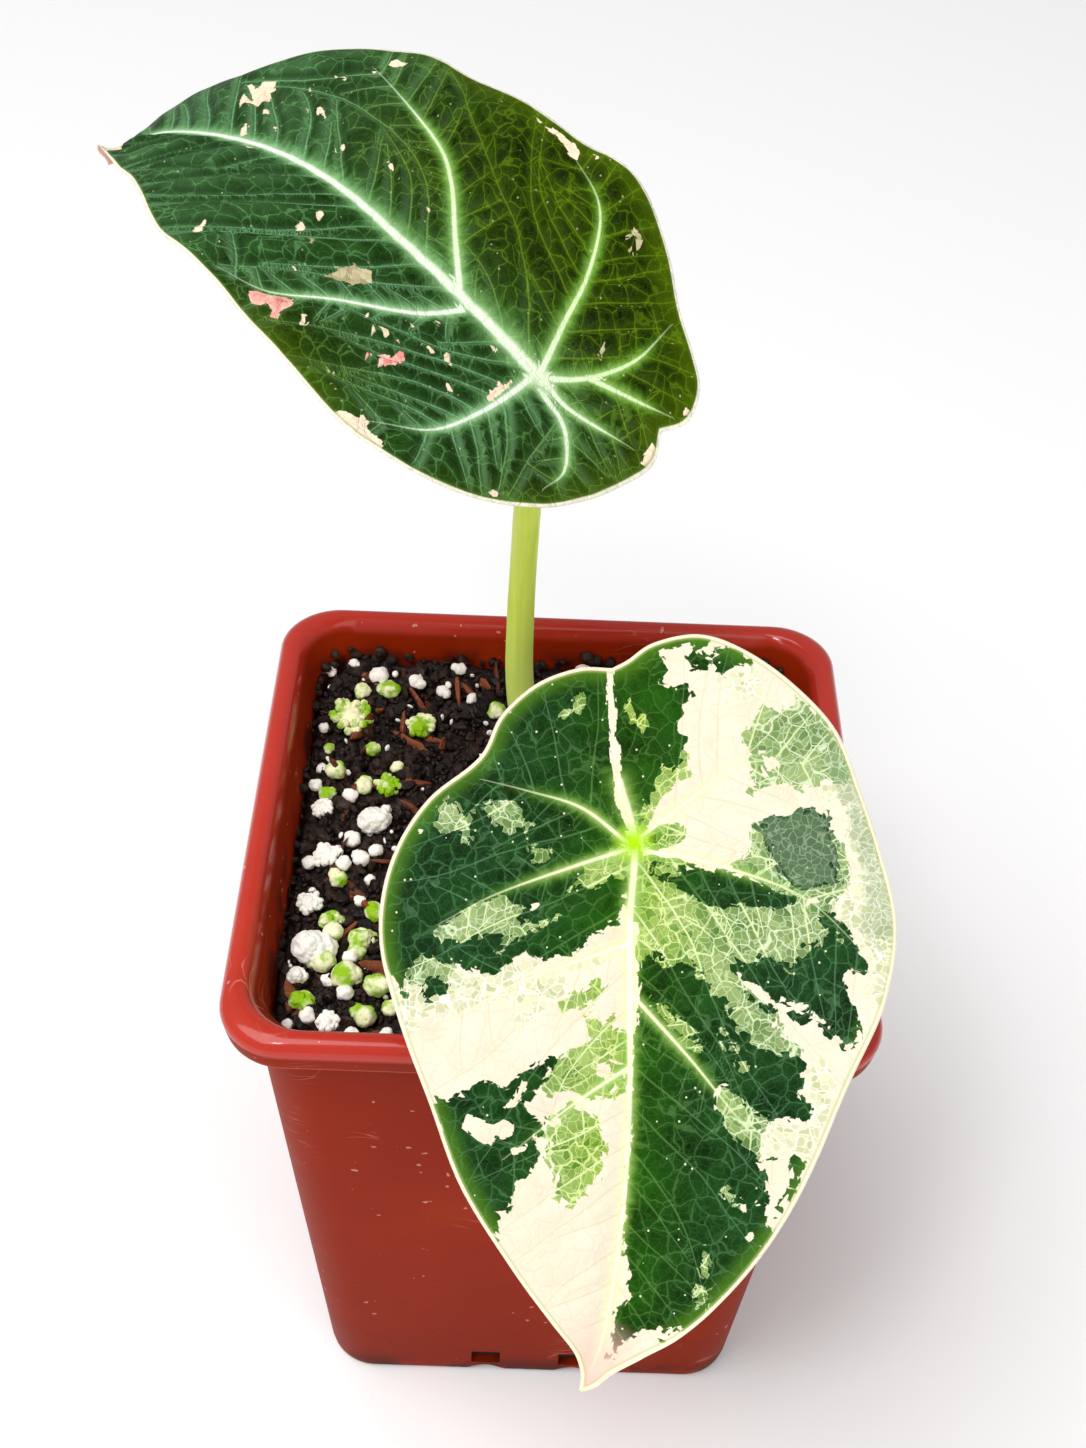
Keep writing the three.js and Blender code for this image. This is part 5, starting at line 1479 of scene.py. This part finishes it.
def scatter_tree():
    """Crumbs over a surface: random places, turns, sizes and tints, broken by noise."""
    if "Scatter crumbs" in bpy.data.node_groups:
        return bpy.data.node_groups["Scatter crumbs"]
    tree = bpy.data.node_groups.new("Scatter crumbs", "GeometryNodeTree")
    sockets = (
        ("Surface", "NodeSocketGeometry"), ("Density", VALUE), ("Seed", "NodeSocketInt"),
        ("Smallest", VECTOR), ("Largest", VECTOR), ("Detail", "NodeSocketInt"),
        ("Breakage", VALUE), ("Finish", "NodeSocketMaterial"),
    )
    for name, kind in sockets:
        tree.interface.new_socket(name, in_out="INPUT", socket_type=kind)
    tree.interface.new_socket("Crumbs", in_out="OUTPUT", socket_type="NodeSocketGeometry")
    make = NodeMaker(tree)
    source = make.add("NodeGroupInput").outputs
    target = make.add("NodeGroupOutput").inputs
    spread = make.add("GeometryNodeDistributePointsOnFaces", distribute_method="RANDOM")
    make.fill(spread, Mesh=source["Surface"], Density=source["Density"], Seed=source["Seed"])
    tint = make.add("FunctionNodeRandomValue", data_type="FLOAT")
    make.fill(tint, Seed=7)
    keep = make.add("GeometryNodeStoreNamedAttribute", data_type="FLOAT", domain="POINT")
    make.fill(keep, Geometry=spread.outputs["Points"], Name="tint", Value=tint.outputs[1])
    turn = make.add("FunctionNodeRandomValue", data_type="FLOAT_VECTOR")
    make.put(turn.inputs[1], (TURN, TURN, TURN))
    make.put(turn.inputs["Seed"], 3)
    size = make.add("FunctionNodeRandomValue", data_type="FLOAT_VECTOR")
    make.put(size.inputs[0], source["Smallest"])
    make.put(size.inputs[1], source["Largest"])
    make.put(size.inputs["Seed"], 5)
    ball = make.add("GeometryNodeMeshIcoSphere")
    make.fill(ball, Radius=1.0, Subdivisions=source["Detail"])
    place = make.add("GeometryNodeInstanceOnPoints")
    make.fill(
        place, Points=keep.outputs["Geometry"], Instance=ball.outputs["Mesh"],
        Rotation=turn.outputs[0], Scale=size.outputs[0])
    real = make.add("GeometryNodeRealizeInstances")
    make.fill(real, Geometry=place.outputs[0])
    rough = make.add("ShaderNodeTexNoise")
    make.fill(rough, Scale=900.0, Detail=3.0)
    shift = make.vector("SUBTRACT", rough.outputs["Color"], (0.5, 0.5, 0.5))
    broken = make.add("GeometryNodeSetPosition")
    offset = make.scaled(shift, source["Breakage"])
    make.fill(broken, Geometry=real.outputs[0], Offset=offset)
    dress = make.add("GeometryNodeSetMaterial")
    make.fill(dress, Geometry=broken.outputs[0], Material=source["Finish"])
    make.put(target["Crumbs"], dress.outputs[0])
    return tree


def scatter(name, surface, finish, **inputs):
    """A baked mesh of crumbs that the scatter tree puts on a surface mesh."""
    holder = scratch_object(name, surface.copy())
    modifier = holder.modifiers.new("scatter", "NODES")
    modifier.node_group = scatter_tree()
    values = {"Finish": finish, **inputs}
    for item in modifier.node_group.interface.items_tree:
        if item.item_type == "SOCKET" and item.in_out == "INPUT" and item.name in values:
            modifier[item.identifier] = values[item.name]
    mesh = baked_mesh(holder, name)
    mesh.shade_smooth()
    return mesh


def scatter_surface(half, lift):
    """An open sheet over the potting mix for crumbs to lie on."""
    steps = 48
    points = []
    for i in range(steps + 1):
        for j in range(steps + 1):
            x = -half + 2 * half * i / steps
            y = -half + 2 * half * j / steps
            over = max(0.0, math.hypot(max(abs(x) - half + 6, 0), max(abs(y) - half + 6, 0)) - 6)
            pull = 1 - over / max(math.hypot(x, y), 1e-6)
            x, y = x * pull, y * pull
            points.append((x * MM, y * MM, (crumb_height(x, y) + lift) * MM))
    faces = []
    for i in range(steps):
        for j in range(steps):
            a = i * (steps + 1) + j
            faces.append((a, a + steps + 1, a + steps + 2, a + 1))
    mesh = bpy.data.meshes.new("crumb sheet")
    mesh.from_pydata(points, [], faces)
    return mesh


def wall_sheet():
    """A band on the pot's inner walls over the potting mix, higher in some places."""
    rings = []
    for share in (0, 1):
        ring = square_ring(wall_half(75) - 1.35, 5.8, 0, 6, 12)
        for point in ring:
            climb = 1.3 + 3.2 * noise.noise(Vector((point.x, point.y, 0)) * 0.16)
            point.z = crumb_height(point.x, point.y) - 0.6 + share * max(climb, 0.4)
        rings.append(ring)
    return loft("wall sheet", rings)


def add_lump(work, centre, size, flat, seed, level, rough=0.32):
    """Adds a rough rounded grain to a bmesh, sizes in mm."""
    ball = bmesh.ops.create_icosphere(work, subdivisions=level, radius=1.0)["verts"]
    shift = Vector((seed * 3.7, seed * 1.9, seed * 5.3))
    for vertex in ball:
        way = vertex.co.normalized()
        swell = 1 + rough * noise.noise(way * 1.5 + shift)
        swell += rough * 0.5 * noise.noise(way * 3.6 + shift)
        swell += rough * 0.16 * noise.noise(way * 8.5 + shift)
        point = way * swell * size
        vertex.co = (centre + Vector((point.x, point.y, point.z * flat))) * MM


def mesh_from_lumps(name, lumps, level):
    """One mesh of grains, each with its centre, size and flatness in mm."""
    work = bmesh.new()
    for number, (centre, size, flat) in enumerate(lumps):
        add_lump(work, centre, size, flat, number + len(name), level, 0.24)
    mesh = bpy.data.meshes.new(name)
    work.to_mesh(mesh)
    work.free()
    mesh.shade_smooth()
    return mesh


def make_grain(name):
    """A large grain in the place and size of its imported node: a few lumps grown together,
    or a heap of small ones where the grain is widest."""
    low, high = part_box(name)
    centre = (low + high) / 2 / MM
    half = (high - low) / 2 / MM
    draw = random.Random(name)
    heap = half.z < half.x * 0.8
    count, share, reach = (34, 0.3, 0.72) if heap else (3, 0.68, 0.46)
    lumps = [(centre, min(half) * (0.8 if heap else 0.86), 0.9)]
    for i in range(count):
        turn = i * TURN / count * 2.4 + draw.uniform(-0.4, 0.4)
        away = reach * draw.uniform(0.55, 1.0)
        lift = draw.uniform(0.0, 0.5)
        shift = Vector((
            half.x * away * math.cos(turn), half.y * away * math.sin(turn), half.z * lift))
        lumps.append((centre + shift, min(half) * share * draw.uniform(0.75, 1.1), 0.95))
    return mesh_from_lumps(name, lumps, 3 if heap else 4)


def make_bits(name, bits):
    """Small grains lying on the potting mix, each of two lumps grown together."""
    draw = random.Random(name)
    lumps = []
    for x, y, size in bits:
        centre = Vector((x, y, crumb_height(x, y) + size * 0.6))
        shift = Vector((draw.uniform(-1, 1), draw.uniform(-1, 1), draw.uniform(-0.3, 0.4)))
        lumps.append((centre, size * 0.85, 0.85))
        lumps.append((centre + shift * size * 0.6, size * 0.6, 0.9))
    return mesh_from_lumps(name, lumps, 3)


def grain_finish(name, pale, shade, stain, amount):
    """Porous chalky grain with pits, and a stain that gathers in patches."""
    make, shader, material = new_material(name, Specular_IOR_Level=0.3)
    place = make.place()
    pores = make.group(pore_group(), Place=place)
    color = make.mix(make.ease(pores["Pits"], 0.0, 0.3, 1.0, 0.0), pale, shade)
    color = make.mix(make.ease(pores["Stain"], 0.62 - amount, 0.78 - amount), color, stain)
    make.put(shader.inputs["Base Color"], color)
    make.put(shader.inputs["Roughness"], make.blend(pores["Stain"], 0.9, 0.6))
    make.put(shader.inputs["Normal"], make.bump(pores["Pits"], 0.00015, 0.6))
    return material


def pore_group():
    """Pits and stains of porous grains, in metres."""
    if "Pores" in bpy.data.node_groups:
        return bpy.data.node_groups["Pores"]
    tree, make, source, target = new_shader_group(
        "Pores", [("Place", VECTOR)], [("Pits", VALUE), ("Stain", VALUE)])
    place = source["Place"]
    make.put(target["Pits"], make.cells(place, 1900, "SMOOTH_F1"))
    make.put(target["Stain"], make.noise(place, 330, 4.0, 0.6))
    return tree


class PotSettings(bpy.types.PropertyGroup):
    """Sizes of the pot."""

    height: bpy.props.FloatProperty(
        name="Height", description="From the foot to the top of the rim",
        default=POT_BOX[1].z, unit="LENGTH")
    rim_half: bpy.props.FloatProperty(
        name="Rim half width", description="From the middle to the flat of the rim",
        default=POT_BOX[1].x, unit="LENGTH")
    wall: bpy.props.FloatProperty(
        name="Wall", description="Thickness of the walls", default=0.0012, unit="LENGTH")
    corner: bpy.props.FloatProperty(
        name="Corner radius", description="Radius of the rim's corners", default=0.007,
        unit="LENGTH")


class LeafSettings(bpy.types.PropertyGroup):
    """Fineness and relief of the blades."""

    rows: bpy.props.IntProperty(
        name="Rows", description="Faces from the notch to the tip", default=248, min=20)
    columns: bpy.props.IntProperty(
        name="Columns", description="Faces from margin to margin", default=150, min=20)
    thickness: bpy.props.FloatProperty(
        name="Thickness", description="Thickness of the blade between its veins",
        default=0.0006, unit="LENGTH")
    quilting: bpy.props.FloatProperty(
        name="Quilting", description="Share of each blade's swelling between its side veins",
        default=1.0)
    vein_seed: bpy.props.IntProperty(
        name="Vein seed", description="Seed of the side veins", default=4)


class SoilSettings(bpy.types.PropertyGroup):
    """Crumbs in the potting mix."""

    crumb_density: bpy.props.FloatProperty(
        name="Fine crumbs", description="Fine crumbs on a square metre", default=1.3e6)
    clod_density: bpy.props.FloatProperty(
        name="Clods", description="Coarse crumbs on a square metre", default=2.6e5)
    chip_density: bpy.props.FloatProperty(
        name="Bark chips", description="Bark chips on a square metre", default=4.2e4)
    seed: bpy.props.IntProperty(name="Seed", description="Seed of the crumbs", default=12)


class StageSettings(bpy.types.PropertyGroup):
    """Floor and light."""

    floor_size: bpy.props.FloatProperty(
        name="Floor size", description="Side of the square floor", default=3.0, unit="LENGTH")
    floor_color: bpy.props.FloatVectorProperty(
        name="Floor colour", description="Colour of the floor", default=(0.96, 0.96, 0.96),
        size=3, subtype="COLOR", min=0.0, max=1.0)
    key_power: bpy.props.FloatProperty(
        name="Key light", description="Power of the main light", default=12.4, unit="POWER")
    fill_power: bpy.props.FloatProperty(
        name="Fill light", description="Power of the front light", default=1.4, unit="POWER")
    glint_power: bpy.props.FloatProperty(
        name="Glint light", description="Power of the small light that draws crisp glints",
        default=0.7, unit="POWER")
    sky: bpy.props.FloatProperty(
        name="Sky", description="Strength of the light from all around", default=0.48)


class ALOCASIA_OT_pot(bpy.types.Operator):
    """Make the square plastic pot with its rolled rim and drain slots"""

    bl_idname = "alocasia.pot"
    bl_label = "Pot"

    def execute(self, context):
        mesh = make_pot_mesh(context.scene.alocasia_pot)
        add_piece("square_pot", mesh, pot_finish(), ["pot"])
        return {"FINISHED"}


class ALOCASIA_OT_soil(bpy.types.Operator):
    """Make the potting mix with its crumbs, clods and bark chips"""

    bl_idname = "alocasia.soil"
    bl_label = "Potting mix"

    def execute(self, context):
        settings = context.scene.alocasia_soil
        peat = mix_finish("Damp peat", srgb(4, 2, 1), srgb(46, 26, 18), srgb(96, 56, 36))
        bark = mix_finish("Bark", srgb(34, 14, 8), srgb(140, 74, 44), srgb(196, 128, 88))
        add_piece("potting_mix", make_bed_mesh(), peat, ["soil"])
        sheet = scatter_surface(29.6, -0.1)
        walls = wall_sheet()
        layers = (
            ("peat_crumbs", sheet, peat, settings.crumb_density, 1, 0.0004,
             (0.0002, 0.0002, 0.00015), (0.0006, 0.0006, 0.0004)),
            ("peat_clods", sheet, peat, settings.clod_density, 2, 0.0013,
             (0.0004, 0.0004, 0.0003), (0.0014, 0.0012, 0.0008)),
            ("bark_chips", sheet, bark, settings.chip_density, 2, 0.0009,
             (0.0002, 0.001, 0.0002), (0.0009, 0.0042, 0.0005)),
            ("clinging_peat", walls, peat, 6.0e5, 2, 0.0012, (0.0002,) * 3, (0.0009,) * 3),
        )
        for number, layer in enumerate(layers):
            name, surface, finish, density, detail, breakage, smallest, largest = layer
            mesh = scatter(
                name, surface, finish, Density=density, Seed=settings.seed + number,
                Smallest=smallest, Largest=largest, Detail=detail, Breakage=breakage)
            if name in ("peat_clods", "bark_chips"):
                mesh.shade_flat()
            add_piece(name, mesh, finish)
        return {"FINISHED"}


class ALOCASIA_OT_grains(bpy.types.Operator):
    """Make the perlite grains and those that algae has turned green, large and small"""

    bl_idname = "alocasia.grains"
    bl_label = "Loose grains"

    def execute(self, context):
        white = grain_finish(
            "Perlite", srgb(255, 252, 244), srgb(232, 216, 198), srgb(244, 232, 206), 0.0)
        green = grain_finish(
            "Algae grain", srgb(250, 250, 206), srgb(200, 218, 84), srgb(146, 196, 8), 0.2)
        for name in sorted(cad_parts):
            if name.startswith("perlite"):
                add_piece(f"loose_{name}", make_grain(name), white, [name])
            elif name.startswith("algae"):
                add_piece(f"loose_{name}", make_grain(name), green, [name])
        add_piece("small_perlite", make_bits("small_perlite", WHITE_BITS), white)
        add_piece("small_algae_grains", make_bits("small_algae", GREEN_BITS), green)
        dust = scatter(
            "perlite_dust", scatter_surface(29.4, 0.4), white, Density=5.0e4, Seed=21,
            Smallest=(0.00014,) * 3, Largest=(0.0005,) * 3, Detail=2, Breakage=0.0003)
        add_piece("perlite_dust", dust, white)
        return {"FINISHED"}


class ALOCASIA_OT_stem(bpy.types.Operator):
    """Make the stem's base with both leaf stalks"""

    bl_idname = "alocasia.stem"
    bl_label = "Stem"

    def execute(self, context):
        add_piece("stem_and_stalks", make_stem_mesh(), stalk_finish(), ["stem"])
        return {"FINISHED"}


class ALOCASIA_OT_leaves(bpy.types.Operator):
    """Make the green upper leaf and the variegated lower leaf"""

    bl_idname = "alocasia.leaves"
    bl_label = "Leaves"

    def execute(self, context):
        settings = context.scene.alocasia_leaf
        upper = make_blade("upper_blade", UPPER_LEAF, settings, paint_upper)
        add_piece("upper_blade", upper, green_leaf_finish(), ["upper_leaf"])
        lower = make_blade("lower_blade", LOWER_LEAF, settings, paint_lower)
        add_piece("lower_blade", lower, cream_leaf_finish(), ["lower_leaf"])
        return {"FINISHED"}


def tube_mesh(name, points, radius_at, sides=20, steps=90):
    """A closed round tube along a smooth line, in mm."""
    line = points_at(points, np.linspace(0, 1, steps + 1))
    runs = np.gradient(line, axis=0)
    reference = Vector((1, 0, 0))
    rings = []
    for i, (centre, run) in enumerate(zip(line, runs)):
        forward = Vector(run).normalized()
        side = (reference - forward * reference.dot(forward)).normalized()
        other = forward.cross(side)
        reference = side
        radius = radius_at(i / steps)
        ring = []
        for j in range(sides):
            angle = j / sides * TURN
            way = side * math.cos(angle) + other * math.sin(angle)
            ring.append(Vector(centre) + way * radius)
        rings.append(ring)
    return loft(name, rings, line[0], line[-1])


def make_stem_mesh():
    """The rooted base and two stalks, melted together into one body."""
    base_x, base_y = BASE_AT
    level = soil_height(base_x, base_y)
    rings = []
    for z, radius in BASE_PROFILE:
        ring = []
        for j in range(28):
            angle = j / 28 * TURN
            x = base_x + radius * math.cos(angle)
            y = base_y + radius * math.sin(angle)
            ring.append(Vector((x, y, level + z)))
        rings.append(ring)
    lowest, highest = BASE_PROFILE[0][0], BASE_PROFILE[-1][0]
    base = loft(
        "stem base", rings, (base_x, base_y, level + lowest), (base_x, base_y, level + highest))
    holder = scratch_object("stem", base)
    parts = [holder]
    for leaf, dx, dy in ((UPPER_LEAF, -0.3, 0.4), (LOWER_LEAF, 0.5, -0.6)):
        along, across, normal = leaf_axes(leaf)
        top = np.array(leaf["at"]) - normal * 1.8
        points = [(base_x + dx, base_y + dy, level - 3), *leaf["stalk"], tuple(top)]
        tube = tube_mesh("stalk", points, lambda share: 1.5 + 0.6 * (1 - share) ** 3)
        parts.append(scratch_object("stalk", tube))
    work = bmesh.new()
    for part in parts:
        work.from_mesh(part.data)
    joined = bpy.data.meshes.new("stem parts")
    work.to_mesh(joined)
    work.free()
    for part in parts:
        bpy.data.objects.remove(part)
    holder = scratch_object("stem parts", joined)
    melt = holder.modifiers.new("melt", "REMESH")
    melt.mode = "VOXEL"
    melt.voxel_size = 0.00028
    even = holder.modifiers.new("even", "SMOOTH")
    even.iterations = 4
    mesh = baked_mesh(holder, "stem_and_stalks")
    mesh.shade_smooth()
    return mesh


def stalk_finish():
    """Juicy yellow-green stalk with faint lengthwise streaks, brown at the soil."""
    make, shader, material = new_material(
        "Leaf stalk", Specular_IOR_Level=0.5, Subsurface_Weight=0.15, Subsurface_Scale=0.001)
    place = make.place()
    stretched = make.vector("MULTIPLY", place, (1400.0, 1400.0, 60.0))
    streak = make.noise(stretched, 1.0, 3.0)
    cloud = make.noise(place, 80, 3.0)
    color = make.mix(streak, srgb(198, 230, 64), srgb(238, 250, 120))
    height = make.split(place)[2]
    color = make.mix(make.ease(height, 0.088, 0.104, 0.5, 0.0), color, srgb(206, 222, 128))
    color = make.mix(make.ease(height, 0.128, 0.134, 0.0, 0.6), color, srgb(216, 236, 120))
    color = make.mix(make.ease(height, 0.074, 0.0785, 0.8, 0.0), color, srgb(98, 66, 34))
    color = make.mix(make.ease(cloud, 0.55, 0.8, 0.0, 0.3), color, srgb(166, 206, 60))
    make.put(shader.inputs["Base Color"], color)
    make.put(shader.inputs["Roughness"], make.ease(streak, 0.2, 0.8, 0.32, 0.46))
    make.put(shader.inputs["Normal"], make.bump(streak, 0.00005, 0.4))
    return material


class ALOCASIA_OT_stage(bpy.types.Operator):
    """Make the pale floor, the soft lights and the camera"""

    bl_idname = "alocasia.stage"
    bl_label = "Stage"

    def execute(self, context):
        settings = context.scene.alocasia_stage
        scene = context.scene
        half = settings.floor_size / 2
        mesh = bpy.data.meshes.new("floor")
        mesh.from_pydata([(-half, -half, 0), (half, -half, 0), (half, half, 0), (-half, half, 0)],
                         [], [(0, 1, 2, 3)])
        floor = bpy.data.objects.new("floor", mesh)
        scene.collection.objects.link(floor)
        _, shader, material = new_material("Pale floor", Roughness=0.7, Specular_IOR_Level=0.2)
        shader.inputs["Base Color"].default_value = (*settings.floor_color, 1.0)
        mesh.materials.append(material)
        add_light("key", (-0.5, -0.24, 1.24), 1.0, settings.key_power)
        add_light("glint", (-0.2, -0.36, 0.7), 0.1, settings.glint_power)
        add_light("fill", (0.28, -0.62, 0.5), 0.6, settings.fill_power)
        world = bpy.data.worlds.new("soft sky")
        world.use_nodes = True
        sky = world.node_tree.nodes["Background"].inputs
        sky["Color"].default_value = (1.0, 1.0, 1.0, 1.0)
        sky["Strength"].default_value = settings.sky
        scene.world = world
        scene.view_settings.view_transform = "Standard"
        scene.view_settings.look = "None"
        add_camera(scene)
        return {"FINISHED"}


def add_light(name, place, size, power):
    """A square soft light that faces the plant's middle."""
    data = bpy.data.lights.new(name, "AREA")
    data.size = size
    data.energy = power
    light = bpy.data.objects.new(name, data)
    light.location = place
    middle = (CAD_BOX[0] + CAD_BOX[1]) / 2
    light.rotation_mode = "QUATERNION"
    light.rotation_quaternion = (middle - light.location).to_track_quat("-Z", "Y")
    bpy.context.scene.collection.objects.link(light)


def add_camera(scene):
    """The camera at the photograph's place, with its angle of view."""
    data = bpy.data.cameras.new("camera")
    data.sensor_width = SENSOR_MM
    data.lens = FOCAL_PX / LONG_SIDE_PX * SENSOR_MM
    data.clip_start = 0.01
    data.clip_end = 10
    camera = bpy.data.objects.new("camera", data)
    right = Vector(CAMERA_RIGHT).normalized()
    up = Vector(CAMERA_UP).normalized()
    back = right.cross(up)
    turn = Matrix((right, up, back)).transposed().to_4x4()
    camera.matrix_world = Matrix.Translation(Vector(CAMERA_AT) * MM) @ turn
    scene.collection.objects.link(camera)
    scene.camera = camera


class ALOCASIA_PT_panel(bpy.types.Panel):
    """Lists what the plant is made of"""

    bl_idname = "ALOCASIA_PT_panel"
    bl_label = "Alocasia"
    bl_space_type = "VIEW_3D"
    bl_region_type = "UI"
    bl_category = "Alocasia"

    def draw(self, context):
        for operator in OPERATORS:
            self.layout.operator(operator.bl_idname)
        for settings in ("alocasia_pot", "alocasia_leaf", "alocasia_soil", "alocasia_stage"):
            group = getattr(context.scene, settings)
            for name in group.__annotations__:
                self.layout.prop(group, name)


SETTINGS = {
    "alocasia_pot": PotSettings,
    "alocasia_leaf": LeafSettings,
    "alocasia_soil": SoilSettings,
    "alocasia_stage": StageSettings,
}
OPERATORS = (
    ALOCASIA_OT_stage,
    ALOCASIA_OT_pot,
    ALOCASIA_OT_soil,
    ALOCASIA_OT_grains,
    ALOCASIA_OT_stem,
    ALOCASIA_OT_leaves,
)


def register():
    for kind in (*SETTINGS.values(), *OPERATORS, ALOCASIA_PT_panel):
        bpy.utils.register_class(kind)
    for name, kind in SETTINGS.items():
        setattr(bpy.types.Scene, name, bpy.props.PointerProperty(type=kind))


def unregister():
    for name in SETTINGS:
        delattr(bpy.types.Scene, name)
    for kind in (ALOCASIA_PT_panel, *reversed(OPERATORS), *SETTINGS.values()):
        bpy.utils.unregister_class(kind)


def main():
    register()
    bpy.ops.alocasia.stage()
    bpy.ops.alocasia.pot()
    bpy.ops.alocasia.soil()
    bpy.ops.alocasia.grains()
    bpy.ops.alocasia.stem()
    bpy.ops.alocasia.leaves()
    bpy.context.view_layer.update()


if __name__ == "__main__":
    main()
